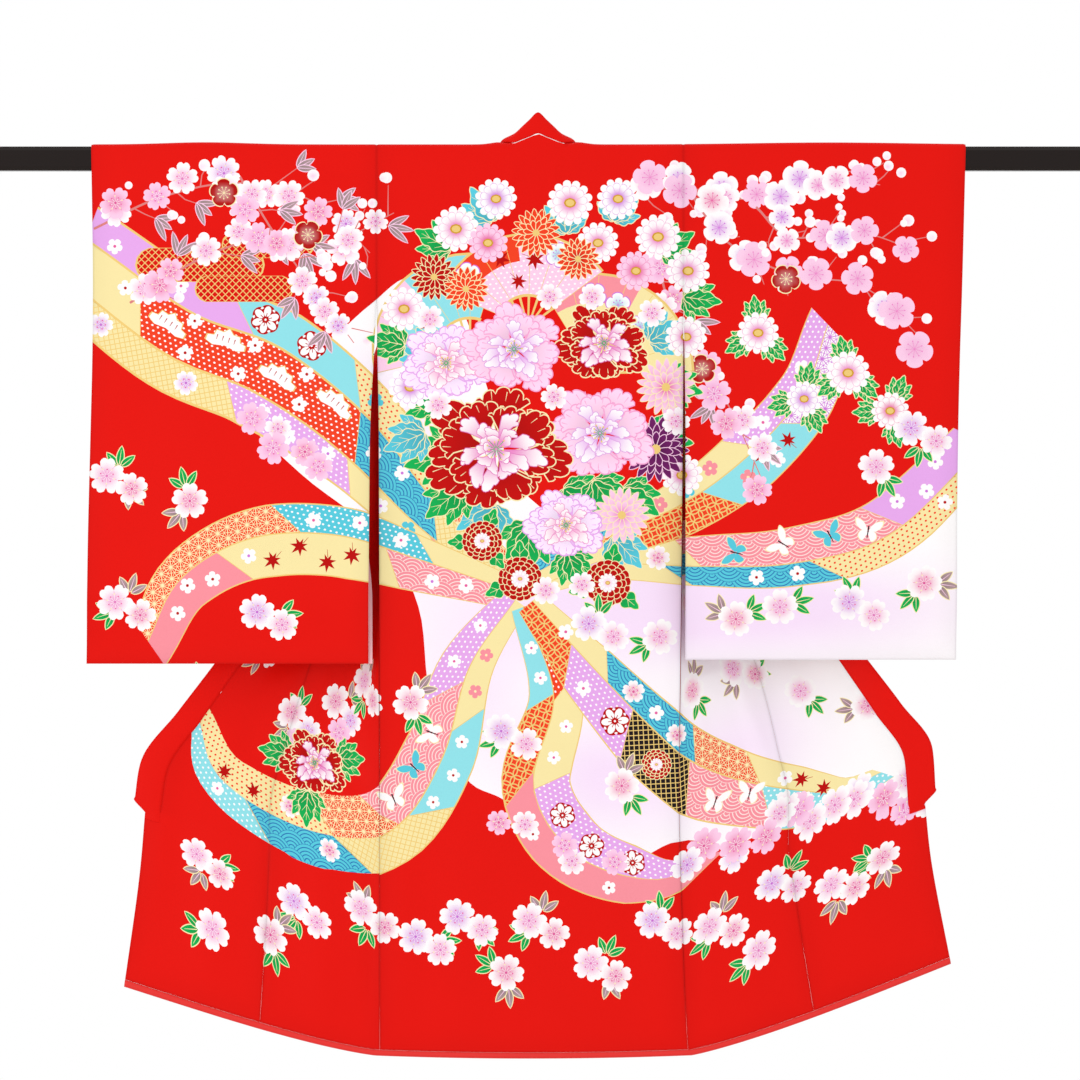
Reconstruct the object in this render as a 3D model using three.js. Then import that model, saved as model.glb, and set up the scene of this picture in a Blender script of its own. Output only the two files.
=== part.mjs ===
// A baby's ceremonial kimono for a girl, hung through its sleeves on a lacquered bar with its back to the
// viewer. Both fronts are drawn out to the sides behind it, so that the skirt opens like a fan.
// Millimetres, +Z up, +X to the viewer's right, +Y away from the viewer. The origin is the middle of the bar.
import * as THREE from "three";

// The cloth: silk crepe and its lining together are one wall.
const CLOTH = 1.6;
const SEAM_GAP = 0.3;
const BODY_LENGTH = 921; // shoulder fold to hem
const ARMHOLE = 153; // shoulder fold to the end of the sleeve seam
const SIDE_SEAM_TOP = 225; // the side is open between the armhole and here
const COLLAR_WIDTH = 28;
const COLLAR_END = 750; // shoulder fold to the lower end of the collar
const NECK_MIDDLE = 8; // the garment hangs a little to one side
const NECK_HALF = 38;
const NECK_FLARE = 2; // how much wider the neck is on the shoulder fold than below the bar
const HEM_GAP = 0.5; // between the silk's edge and the hem roll
// The hem roll's section: how far above the hem, and half its thickness there.
const HEM_ROLL = [
  { up: 5.6, half: CLOTH / 2 },
  { up: 4.2, half: 1.7 },
  { up: 1.4, half: 1.7 },
  { up: 0, half: 0.8 },
];

// The bar that it hangs on.
const BAR = { length: 1200, height: 24, depth: 18, chamfer: 4 };

// The cloth passes over the bar on a flat top with two round shoulders.
const OVER_BAR = { top: 13.4, flat: 4.2, radius: 6 };
const OVER_BAR_END = OVER_BAR.flat + (Math.PI / 2) * OVER_BAR.radius;
const HANG_DEPTH = OVER_BAR.flat + OVER_BAR.radius; // of a layer that hangs from the bar
const HANG_START = OVER_BAR.top - OVER_BAR.radius + OVER_BAR_END; // z = HANG_START - along

// Where the shoulder fold stands up from the bar: middle, rise and half length of each soft hump.
const HUMPS = [
  { x: -325, rise: 2.2, half: 55 },
  { x: -30, rise: 2.4, half: 12 },
  { x: 47, rise: 2.4, half: 12 },
  { x: 300, rise: 2, half: 110 },
];
const HUMP_FADE = 40; // distance down the cloth at which they are gone

// The back panel starts in front of the bar and is drawn back between these distances down the cloth.
const BACK_DRAWN = { from: 120, to: 560, depth: 8 };
const BACK_HALF = 155; // about half its width

// Half the width of the back at each side, by the distance along the cloth from the shoulder fold.
const SIDES = {
  left: [
    { along: 0, out: 153.5 },
    { along: 153, out: 153.5 },
    { along: 300, out: 151.5 },
    { along: 921, out: 151 },
  ],
  right: [
    { along: 0, out: 153.5 },
    { along: 153, out: 153.5 },
    { along: 521, out: 151 },
    { along: 657, out: 149.5 },
    { along: 780, out: 152.5 },
    { along: 850, out: 155 },
    { along: 921, out: 159 },
  ],
};

// The free edge of each front, by the distance along the cloth: how far out from the middle, how far
// behind the bar and how high it is, the width of cloth from the side seam to it and the part of that
// width that is the front panel, the share of the spare width that stands in folds, and how far the cloth
// first turns straight back from the side seam. Down to COLLAR_END this is the collar's edge.
const COLLARED_EDGE = {
  left: [
    { along: 13.6, out: 4, back: 10.2, z: 7.4, width: 149.5, panel: 121.5, slack: 0, lean: 0 },
    { along: 40, out: 14, back: 12, z: -17, width: 154, panel: 121.5, slack: 0, lean: 0 },
    { along: 90, out: 40, back: 18, z: -65, width: 163, panel: 121.5, slack: 0.5, lean: 0.3 },
    { along: 153, out: 74, back: 30, z: -122, width: 172, panel: 121.5, slack: 0.8, lean: 0.8 },
    { along: 225, out: 114, back: 46, z: -189, width: 183, panel: 121, slack: 0.85, lean: 1 },
    { along: 294, out: 153.4, back: 58, z: -254.5, width: 194, panel: 120, slack: 0.85, lean: 1 },
    { along: 400, out: 210, back: 52, z: -344, width: 209, panel: 119, slack: 0.8, lean: 0.95 },
    { along: 521, out: 276, back: 38, z: -447, width: 227, panel: 118, slack: 0.3, lean: 0.55 },
    { along: 590, out: 318, back: 28, z: -506, width: 237, panel: 118, slack: 0.13, lean: 0.3 },
    { along: 650, out: 355, back: 20, z: -555, width: 246, panel: 118, slack: 0.08, lean: 0.15 },
    { along: 708, out: 391, back: 15, z: -603, width: 256, panel: 118, slack: 0, lean: 0.05 },
    { along: 750, out: 398, back: 13, z: -645, width: 262, panel: 118, slack: 0, lean: 0 },
  ],
  right: [
    { along: 13.6, out: 20, back: 10.2, z: 7.4, width: 133.5, panel: 105.5, slack: 0, lean: 0 },
    { along: 40, out: 29, back: 12, z: -17, width: 138, panel: 106, slack: 0, lean: 0 },
    { along: 90, out: 53, back: 17, z: -65, width: 148, panel: 107, slack: 0.5, lean: 0.3 },
    { along: 153, out: 84, back: 28, z: -122, width: 158, panel: 108, slack: 0.8, lean: 0.8 },
    { along: 225, out: 122, back: 44, z: -189, width: 171, panel: 109, slack: 0.85, lean: 1 },
    { along: 294, out: 159, back: 55, z: -252, width: 183, panel: 110, slack: 0.85, lean: 1 },
    { along: 400, out: 221, back: 50, z: -342, width: 201, panel: 110, slack: 0.8, lean: 0.95 },
    { along: 521, out: 296, back: 36, z: -444, width: 222, panel: 110, slack: 0.3, lean: 0.55 },
    { along: 590, out: 340, back: 27, z: -502, width: 234, panel: 110, slack: 0.13, lean: 0.3 },
    { along: 650, out: 374, back: 19, z: -547, width: 245, panel: 110, slack: 0.08, lean: 0.15 },
    { along: 708, out: 405, back: 15, z: -592, width: 255, panel: 110, slack: 0, lean: 0.05 },
    { along: 750, out: 408, back: 13, z: -636, width: 261, panel: 110, slack: 0, lean: 0 },
  ],
};
// Below the collar the okumi's own edge runs down to the corner of the hem.
const PLAIN_EDGE = {
  left: [
    { along: 750, out: 387, back: 13, z: -654, width: 251, panel: 118, slack: 0, lean: 0 },
    { along: 830, out: 393, back: 12, z: -722, width: 258, panel: 122, slack: 0, lean: 0 },
    { along: 921, out: 408, back: 10, z: -831, width: 272, panel: 128, slack: 0, lean: 0 },
  ],
  right: [
    { along: 750, out: 397, back: 13, z: -645, width: 250, panel: 110, slack: 0, lean: 0 },
    { along: 830, out: 404, back: 12, z: -708, width: 258, panel: 120, slack: 0, lean: 0 },
    { along: 921, out: 423, back: 10, z: -808, width: 274, panel: 132, slack: 0, lean: 0 },
  ],
};
const OKUMI_TOP = 60; // where the okumi begins, below the shoulder fold
// How far the hem curves below a straight line. A front's curve is fullest near its side seam.
const HEM_SAG = { front: 6, back: 3, lean: 0.7 };
const FOLDS = 2.5; // whole folds across a front
const UNEVEN = { by: 0.05, phase: 1 }; // how unequal they are, and where the wide ones lie

// The collar round the neck. Its seam lies `seam` out from the middle of the neck on the edge of the back,
// or `along` the edge of a front, with a gap where the band turns up from the cloth. Its free edge is at
// (out, back, z), and its middle is pushed out by puff.
const COLLAR_ON_BACK = [
  { seam: 0, gap: 0.3, out: 0, back: -7.5, z: 46, puff: 0 },
  { seam: 8, gap: 0.4, out: 8.5, back: -6.8, z: 38.5, puff: 0.4 },
  { seam: 16, gap: 0.7, out: 16, back: -5.2, z: 31.5, puff: 0.8 },
  { seam: 24, gap: 1.3, out: 21, back: -2, z: 26.5, puff: 1.5 },
  { seam: 31, gap: 1.5, out: 24.5, back: 3, z: 23, puff: 2.5 },
  { seam: 36.5, gap: 1.5, out: 26, back: 8, z: 20, puff: 3 },
];
const COLLAR_ON_FRONT = [
  { along: 4.2, gap: 1.3, out: 26.5, back: 12, z: 16.5, puff: 3 },
  { along: 9, gap: 1, out: 26, back: 14.5, z: 11.5, puff: 2.5 },
  { along: 13.6, gap: 0.7, out: 24.5, back: 15.5, z: 5.5, puff: 1.5 },
];
const NAPE_RISE = 10; // the back's edge is drawn up by the collar at the nape
const NAPE_HALF = 24;
const NECK_LIFT = { up: 1, back: 0.4 }; // the edge round the neck stands this far off the shoulder fold

// Each sleeve: its outer and inner edges by the distance along the cloth, for the layer that faces the
// viewer and the layer behind the bar.
const SLEEVES = {
  left: {
    bottom: -506,
    edges: [
      { along: 0, outer: 439, near: 153.8, far: 153.8 },
      { along: 153, outer: 437, near: 153.8, far: 153.8 },
      { along: 215, outer: 437.5, near: 156, far: 169 },
      { along: 300, outer: 439.5, near: 160, far: 171 },
      { along: 400, outer: 442, near: 161, far: 169 },
      { along: 527, outer: 444.5, near: 162, far: 162 },
    ],
  },
  right: {
    bottom: -502,
    edges: [
      { along: 0, outer: 436, near: 153.8, far: 153.8 },
      { along: 153, outer: 432, near: 153.8, far: 153.8 },
      { along: 215, outer: 430, near: 154.5, far: 169 },
      { along: 300, outer: 428, near: 155.5, far: 171 },
      { along: 400, outer: 427, near: 155.5, far: 169 },
      { along: 527, outer: 427, near: 155.5, far: 156 },
    ],
  },
};
const SLEEVE_CLOSING = 75; // height over which the two layers come together at the bottom seam
const SLEEVE_EDGE = 1.7; // half the depth of the bottom seam

const SIGN = { left: -1, right: 1 };
const RED = 0xe81810;
const LACQUER = 0x120f0e;

const silk = new THREE.MeshStandardMaterial({ color: RED, roughness: 0.6, metalness: 0 });
const lacquer = new THREE.MeshStandardMaterial({ color: LACQUER, roughness: 0.2, metalness: 0 });

const lerp = (a, b, share) => a + (b - a) * share;
const smoothstep = (from, to, value) => {
  const share = Math.min(1, Math.max(0, (value - from) / (to - from)));
  return share * share * (3 - 2 * share);
};

// The value of one column of a table at a distance along the cloth. The curve through the rows is smooth
// and never overshoots them.
function read(table, name, along) {
  const last = table.length - 1;
  const row = Math.min(last - 1, Math.max(0, table.findIndex((r) => r.along > along) - 1));
  const i = along >= table[last].along ? last - 1 : row;
  const step = (k) => table[k + 1].along - table[k].along;
  const rate = (k) => (table[k + 1][name] - table[k][name]) / step(k);
  const slope = (k) => {
    if (k === 0) return rate(0);
    if (k === last) return rate(last - 1);
    const [before, after] = [rate(k - 1), rate(k)];
    const mean = (before * step(k) + after * step(k - 1)) / (step(k - 1) + step(k));
    const least = Math.min(Math.abs(before), Math.abs(after), Math.abs(mean) / 2);
    return (Math.sign(before) + Math.sign(after)) * least;
  };
  const h = step(i);
  const s = Math.min(1, Math.max(0, (along - table[i].along) / h));
  const ends = lerp(table[i][name], table[i + 1][name], s * s * (3 - 2 * s));
  return ends + h * s * (1 - s) * ((1 - s) * slope(i) - s * slope(i + 1));
}

// How deep and how high a layer is that lies over the bar, by its distance from the shoulder fold.
function overBar(along) {
  const { top, flat, radius } = OVER_BAR;
  if (along <= flat) return { depth: along, z: top };
  if (along >= OVER_BAR_END) return { depth: HANG_DEPTH, z: HANG_START - along };
  const turn = (along - flat) / radius;
  return { depth: flat + radius * Math.sin(turn), z: top - radius * (1 - Math.cos(turn)) };
}

// How far the shoulder fold stands above its own line at x, fading down the cloth.
function hump(x, along) {
  const rise = HUMPS.reduce((sum, h) => sum + h.rise * Math.exp(-(((x - h.x) / h.half) ** 2)), 0);
  return rise * (1 - smoothstep(0, HUMP_FADE, along));
}

// How far behind the bar's middle the back panel hangs.
const backDepth = (along) =>
  lerp(-HANG_DEPTH, BACK_DRAWN.depth, smoothstep(BACK_DRAWN.from, BACK_DRAWN.to, along));

// A point of the back panel, at x across it.
function backPoint(x, along) {
  const fromNeck = Math.abs(x - NECK_MIDDLE);
  const over = overBar(along);
  const sag = HEM_SAG.back * smoothstep(COLLAR_END, BODY_LENGTH, along) * (1 - (x / BACK_HALF) ** 2);
  const hung = { y: -over.depth, z: over.z + hump(x, along) - sag };
  if (along >= OVER_BAR_END) return new THREE.Vector3(x, backDepth(along), hung.z);
  const inNeck = 1 - smoothstep(NAPE_HALF, NECK_HALF, fromNeck);
  const peak = OVER_BAR.top + NECK_LIFT.up + NAPE_RISE * Math.max(0, 1 - fromNeck / NAPE_HALF);
  const down = along / OVER_BAR_END;
  const stood = {
    y: -HANG_DEPTH + NECK_LIFT.back * (1 - down),
    z: lerp(peak, HANG_START - OVER_BAR_END, down),
  };
  return new THREE.Vector3(x, lerp(hung.y, stood.y, inNeck), lerp(hung.z, stood.z, inNeck));
}

// The cut edge of a front at a distance along the cloth, with the folds between it and the side seam.
function edgeOf(side, along) {
  const table = (along <= COLLAR_END ? COLLARED_EDGE : PLAIN_EDGE)[side];
  const edge = {};
  for (const name of ["out", "back", "z", "width", "panel", "slack", "lean"])
    edge[name] = read(table, name, along);
  if (along < OVER_BAR_END) {
    const over = overBar(along);
    edge.back = over.depth;
    edge.z = over.z;
    edge.out = table[0].out - NECK_FLARE * (1 - along / OVER_BAR_END);
  }
  return edge;
}

// Where a front joins the side: on the sleeve's far layer down to the armhole, then on the back.
function seamOf(side, along) {
  const over = overBar(along);
  const joined = smoothstep(ARMHOLE, SIDE_SEAM_TOP, along);
  const out = read(SIDES[side], "out", along);
  return { out, back: lerp(over.depth, backDepth(along), joined), z: over.z };
}

// A cut through cloth that is pushed together: its heading turns steadily by `turn` and swings from side
// to side by `swing`. The path has a length of 1.
const STEPS = 120;
function foldedPath(turn, swing) {
  const path = [{ out: 0, back: 0 }];
  for (let i = 0; i < STEPS; i += 1) {
    const s = (i + 0.5) / STEPS;
    const drift = UNEVEN.by * (Math.sin(2 * Math.PI * s + UNEVEN.phase) - Math.sin(UNEVEN.phase));
    const heading = turn * (0.5 - s) + swing * Math.sin(2 * Math.PI * FOLDS * (s + drift));
    const { out, back } = path[i];
    path.push({ out: out + Math.cos(heading) / STEPS, back: back + Math.sin(heading) / STEPS });
  }
  return path;
}

// The path that spans a chord with a given length of cloth: the swing is found by halving.
const MOST_SWING = 2.1;
function pathThatSpans(chord, cloth, turn) {
  const reach = (path) => Math.hypot(path[STEPS].out, path[STEPS].back);
  let low = 0;
  let high = MOST_SWING;
  if (reach(foldedPath(turn, 0)) * cloth <= chord) high = 0;
  while (high - low > 1e-4) {
    const middle = (low + high) / 2;
    if (reach(foldedPath(turn, middle)) * cloth > chord) low = middle;
    else high = middle;
  }
  return foldedPath(turn, high);
}

// One level of a front, from its side seam to its free edge, worked out once for each distance.
const levels = new Map();
function levelOf(side, along) {
  const key = side + along.toFixed(4);
  if (levels.has(key)) return levels.get(key);
  const seam = seamOf(side, along);
  const edge = edgeOf(side, along);
  const [out, back] = [edge.out - seam.out, edge.back - seam.back];
  const chord = Math.hypot(out, back);
  const angle = Math.atan2(back, out);
  const flat = Math.sqrt(edge.width ** 2 - (edge.z - seam.z) ** 2);
  const cloth = chord + edge.slack * Math.max(0, flat - chord);
  const path = pathThatSpans(chord, cloth, 2 * (Math.PI / 2 - angle) * edge.lean);
  const end = path[STEPS];
  const grow = chord / Math.hypot(end.out, end.back);
  const turn = angle - Math.atan2(end.back, end.out);
  const [c, s] = [grow * Math.cos(turn), grow * Math.sin(turn)];
  const points = path.map((p) => ({
    out: seam.out + p.out * c - p.back * s,
    back: seam.back + p.out * s + p.back * c,
  }));
  const level = { seam, edge, points, start: turn + Math.atan2(path[1].back, path[1].out) };
  levels.set(key, level);
  return level;
}

// A point of a front, `across` the cloth from the side seam.
function frontPoint(side, across, along) {
  const { seam, edge, points } = levelOf(side, along);
  const share = Math.max(0, across / edge.width);
  const at = Math.min(STEPS - 1e-6, share * STEPS);
  const [i, part] = [Math.floor(at), at - Math.floor(at)];
  const x = SIGN[side] * lerp(points[i].out, points[i + 1].out, part);
  const bow = Math.sin(Math.PI * share ** HEM_SAG.lean);
  const sag = HEM_SAG.front * smoothstep(COLLAR_END, BODY_LENGTH, along) * bow;
  const z = lerp(seam.z, edge.z, share) - sag + hump(x, along);
  return new THREE.Vector3(x, lerp(points[i].back, points[i + 1].back, part), z);
}

// The way out of a surface, from small steps on it to all four sides.
const STEP = 0.7;
function normalOf(surface, across, along) {
  const u = surface(across + STEP, along).sub(surface(across - STEP, along));
  const v = surface(across, along + STEP).sub(surface(across, Math.max(0, along - STEP)));
  return u.cross(v).normalize();
}

// The same for a grid of points, from each point's neighbours. `round` grids close on their first row.
function normalsOf(grid, round) {
  const rows = grid.length;
  return grid.map((row, i) =>
    row.map((_, j) => {
      const before = round ? grid[(i + rows - 1) % rows] : grid[Math.max(0, i - 1)];
      const after = round ? grid[(i + 1) % rows] : grid[Math.min(rows - 1, i + 1)];
      const u = row[Math.min(row.length - 1, j + 1)].clone().sub(row[Math.max(0, j - 1)]);
      return u.cross(after[j].clone().sub(before[j])).normalize();
    }),
  );
}

// A cloth wall: the grid of points moved out to both sides and closed round its edges.
function wall(grid, normals, half, round = false) {
  const [rows, columns] = [grid.length, grid[0].length];
  const positions = [];
  for (const face of [1, -1])
    grid.forEach((row, i) =>
      row.forEach((point, j) => {
        const moved = point.clone().addScaledVector(normals[i][j], face * half(i, j));
        positions.push(moved.x, moved.y, moved.z);
      }),
    );
  const index = [];
  const at = (face, i, j) => face * rows * columns + (i % rows) * columns + j;
  const quad = (a, b, c, d) => index.push(a, b, c, a, c, d);
  const lastRow = round ? rows : rows - 1;
  for (let i = 0; i < lastRow; i += 1) {
    for (let j = 0; j < columns - 1; j += 1) {
      quad(at(0, i, j), at(0, i, j + 1), at(0, i + 1, j + 1), at(0, i + 1, j));
      quad(at(1, i, j), at(1, i + 1, j), at(1, i + 1, j + 1), at(1, i, j + 1));
    }
    quad(at(0, i, 0), at(0, i + 1, 0), at(1, i + 1, 0), at(1, i, 0));
    quad(at(0, i, columns - 1), at(1, i, columns - 1), at(1, i + 1, columns - 1), at(0, i + 1, columns - 1));
  }
  for (let j = 0; j < columns - 1 && !round; j += 1) {
    quad(at(0, 0, j), at(1, 0, j), at(1, 0, j + 1), at(0, 0, j + 1));
    quad(at(0, rows - 1, j), at(0, rows - 1, j + 1), at(1, rows - 1, j + 1), at(1, rows - 1, j));
  }
  return facingOut(positions, index);
}

// A geometry whose faces point out, whichever way its grid ran.
function facingOut(positions, index) {
  const corner = (k) => new THREE.Vector3(...positions.slice(3 * index[k], 3 * index[k] + 3));
  let volume = 0;
  for (let k = 0; k < index.length; k += 3)
    volume += corner(k).dot(corner(k + 1).cross(corner(k + 2))) / 6;
  if (volume < 0)
    for (let k = 0; k < index.length; k += 3)
      [index[k + 1], index[k + 2]] = [index[k + 2], index[k + 1]];
  const geometry = new THREE.BufferGeometry();
  geometry.setAttribute("position", new THREE.Float32BufferAttribute(positions, 3));
  geometry.setIndex(index);
  geometry.computeVertexNormals();
  return geometry;
}

// A wall over part of a surface: `from` and `to` give its reach across at each distance along.
function panel(surface, alongs, columns, from, to) {
  const places = alongs.map((along) =>
    Array.from({ length: columns + 1 }, (_, j) => [lerp(from(along), to(along), j / columns), along]),
  );
  const grid = places.map((row) => row.map(([across, along]) => surface(across, along)));
  const normals = places.map((row) => row.map(([across, along]) => normalOf(surface, across, along)));
  return wall(grid, normals, () => CLOTH / 2);
}

const group = new THREE.Group();
function add(name, geometry, material) {
  const mesh = new THREE.Mesh(geometry, material);
  mesh.name = name;
  group.add(mesh);
}

// Distances along the cloth at which the pieces are cut into facets, and the columns across them.
const OVER_BAR_ROWS = [SEAM_GAP / 2, OVER_BAR.flat, 9, OVER_BAR_END];
const NECK_ROWS = [40, OKUMI_TOP - 1];
const UPPER_ROWS = [
  ...[OKUMI_TOP + 1, 90, 120, ARMHOLE, 190, 207, SIDE_SEAM_TOP, 260],
  ...[300, 345, 390, 440, 490, 540],
];
const LOWER_ROWS = [590, 640, 690, 730, COLLAR_END - 1, COLLAR_END + 1.5, 800, 860];
const BACK_ROWS = [SIDE_SEAM_TOP, 300, 345, 390, 440, 490, 540, 590, 640, 690, COLLAR_END, 800, 860];
const CLOTH_END = BODY_LENGTH - HEM_ROLL[0].up - HEM_GAP;
const COLUMNS = { front: 15, okumi: 10, collar: 4, hemFront: 12, hemBack: 10 };
// Across the back, the columns stand closer together round the neck.
const BACK_COLUMNS = [0, 0.22, 0.4, 0.43, 0.455, 0.48, 0.5, 0.525, 0.55, 0.575, 0.6, 0.64, 0.8, 1];
const SLEEVE_COLUMNS = [0, 0.06, 0.3, 0.53, 0.77, 1];
const SLEEVE_ROWS = [...OVER_BAR_ROWS.slice(1), 40, ARMHOLE, 185, 215, 300, 400, 452, 480, 505, 520];

// The bar: a squared length with small chamfers and square ends.
function bar() {
  const [h, d, c] = [BAR.height / 2, BAR.depth / 2, BAR.chamfer];
  const outline = new THREE.Shape();
  outline.moveTo(-d + c, -h);
  outline.lineTo(d - c, -h);
  outline.lineTo(d, -h + c);
  outline.lineTo(d, h - c);
  outline.lineTo(d - c, h);
  outline.lineTo(-d + c, h);
  outline.lineTo(-d, h - c);
  outline.lineTo(-d, -h + c);
  outline.closePath();
  const geometry = new THREE.ExtrudeGeometry(outline, { depth: BAR.length, bevelEnabled: false });
  // The outline's x becomes depth (Y), its y becomes height (Z) and the extrusion runs along X.
  const turned = new THREE.Matrix4().set(0, 0, 1, 0, 1, 0, 0, 0, 0, 1, 0, 0, 0, 0, 0, 1);
  return geometry.applyMatrix4(turned).translate(-BAR.length / 2, 0, 0);
}
add("rod", bar(), lacquer);

// The back: one width of cloth from the shoulder fold to the hem.
const backFrom = (along) => -read(SIDES.left, "out", along) + SEAM_GAP / 2;
const backTo = (along) => read(SIDES.right, "out", along) - SEAM_GAP / 2;
function back() {
  const alongs = [...OVER_BAR_ROWS, 40, ARMHOLE, ...BACK_ROWS, CLOTH_END];
  const places = alongs.map((along) =>
    BACK_COLUMNS.map((share) => [lerp(backFrom(along), backTo(along), share), along]),
  );
  const grid = places.map((row) => row.map(([x, along]) => backPoint(x, along)));
  const normals = places.map((row) => row.map(([x, along]) => normalOf(backPoint, x, along)));
  return wall(grid, normals, () => CLOTH / 2);
}
add("back", back(), silk);

// Each front: half a width, from the shoulder fold to the hem, between the side seam and the okumi.
const collarSeam = (side, along) => edgeOf(side, along).width - COLLAR_WIDTH;
const panelEdge = (side, along) =>
  along < OKUMI_TOP ? collarSeam(side, along) : edgeOf(side, along).panel;
// Where the front turns back sharply from the seam, it starts clear of the back's thickness.
const seamStart = (side, along) => {
  const turned = Math.abs(Math.sin(levelOf(side, along).start)) * smoothstep(40, ARMHOLE, along);
  return SEAM_GAP / 2 + (CLOTH / 2 + 0.1) * turned;
};
for (const side of ["left", "right"]) {
  const surface = (across, along) => frontPoint(side, across, along);
  const alongs = [...OVER_BAR_ROWS, ...NECK_ROWS, ...UPPER_ROWS, ...LOWER_ROWS, CLOTH_END];
  const from = (along) => seamStart(side, along);
  const to = (along) => panelEdge(side, along) - SEAM_GAP / 2;
  add("front_" + side, panel(surface, alongs, COLUMNS.front, from, to), silk);
}

// Each okumi: the narrow panel that widens the front, under the collar and down to the hem.
for (const side of ["left", "right"]) {
  const surface = (across, along) => frontPoint(side, across, along);
  const alongs = [...UPPER_ROWS, ...LOWER_ROWS, CLOTH_END];
  const from = (along) => panelEdge(side, along) + SEAM_GAP / 2;
  const to = (along) =>
    along > COLLAR_END ? edgeOf(side, along).width : collarSeam(side, along) - SEAM_GAP / 2;
  add("okumi_" + side, panel(surface, alongs, COLUMNS.okumi, from, to), silk);
}

// The collar: one band from the end of one front, round the neck, to the end of the other.
function collarHalf(side) {
  const shares = Array.from({ length: COLUMNS.collar + 1 }, (_, j) => j / COLUMNS.collar);
  const surface = (across, along) => frontPoint(side, across, along);
  // From the seam point over a puffed middle to the free edge.
  const bent = (seam, row) => {
    const free = new THREE.Vector3(NECK_MIDDLE + SIGN[side] * row.out, row.back, row.z);
    const start = seam.clone().addScaledVector(free.clone().sub(seam).normalize(), row.gap);
    const puff = new THREE.Vector3(SIGN[side], -1.2, 1.2).multiplyScalar(row.puff);
    const middle = start.clone().lerp(free, 0.5).add(puff);
    return new THREE.QuadraticBezierCurve3(start, middle, free).getPoints(COLUMNS.collar);
  };
  const onBack = COLLAR_ON_BACK.map((row) =>
    bent(backPoint(NECK_MIDDLE + SIGN[side] * row.seam, 0), row),
  );
  const onFront = COLLAR_ON_FRONT.map((row) =>
    bent(surface(panelEdge(side, row.along), row.along), row),
  );
  const below = [...NECK_ROWS, ...UPPER_ROWS, ...LOWER_ROWS.filter((a) => a < COLLAR_END)];
  const places = below.map((along) => {
    const from = collarSeam(side, along) + 1.5 * SEAM_GAP;
    return shares.map((share) => [lerp(from, edgeOf(side, along).width, share), along]);
  });
  const down = places.map((row) => row.map(([across, along]) => surface(across, along)));
  const normals = places.map((row) =>
    row.map(([across, along]) => normalOf(surface, across, along).multiplyScalar(SIGN[side])),
  );
  const neck = [...onBack, ...onFront];
  return { points: [...neck, ...down], normals: [...neck.map(() => null), ...normals] };
}
function collar() {
  const [left, right] = [collarHalf("left"), collarHalf("right")];
  const grid = [...left.points.reverse(), ...right.points.slice(1)];
  const given = [...left.normals.reverse(), ...right.normals.slice(1)];
  const normals = normalsOf(grid, false).map((row, i) => given[i] ?? row);
  return wall(grid, normals, () => CLOTH / 2);
}
add("collar", collar(), silk);

// Each sleeve: one length folded over the bar, sewn along the bottom, open at the cuff and open at the
// body below the armhole.
function sleeve(side) {
  const { bottom, edges } = SLEEVES[side];
  const length = HANG_START - bottom;
  const place = (along, layer) => {
    const over = overBar(along);
    const closed = smoothstep(length - SLEEVE_CLOSING, length - SLEEVE_EDGE, along);
    const depth = lerp(over.depth, SLEEVE_EDGE, closed);
    return { along, layer, y: layer === "near" ? -depth : depth, z: over.z };
  };
  const ends = { along: length, layer: "near", y: 0, z: bottom };
  const loop = [
    place(0, "near"),
    ...SLEEVE_ROWS.map((along) => place(along, "near")),
    ends,
    ...SLEEVE_ROWS.map((along) => place(along, "far")).reverse(),
  ];
  const grid = loop.map(({ along, layer, y, z }) =>
    SLEEVE_COLUMNS.map((share) => {
      const x = SIGN[side] * lerp(read(edges, layer, along), read(edges, "outer", along), share);
      return new THREE.Vector3(x, y, z + hump(x, along));
    }),
  );
  return wall(grid, normalsOf(grid, true), () => CLOTH / 2, true);
}
add("sleeve_left", sleeve("left"), silk);
add("sleeve_right", sleeve("right"), silk);

// The hem roll: the edge of the lining, rolled out below the silk all along the hem.
function hemRoll() {
  const front = (side) => {
    const width = edgeOf(side, BODY_LENGTH).width;
    // Its columns stand closer together towards the side seam.
    const shares = Array.from({ length: COLUMNS.hemFront }, (_, k) => (1 - k / COLUMNS.hemFront) ** 2);
    return shares.map((share) => (along) => frontPoint(side, share * width, along));
  };
  const middle = Array.from({ length: COLUMNS.hemBack + 1 }, (_, k) => (along) =>
    backPoint(lerp(backFrom(BODY_LENGTH), backTo(BODY_LENGTH), k / COLUMNS.hemBack), along),
  );
  const path = [...front("left"), ...middle, ...front("right").reverse()];
  const grid = path.map((point) => HEM_ROLL.map(({ up }) => point(BODY_LENGTH - up)));
  return wall(grid, normalsOf(grid, false), (i, j) => HEM_ROLL[j].half);
}
add("hem_roll", hemRoll(), silk);

export default group;
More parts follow.
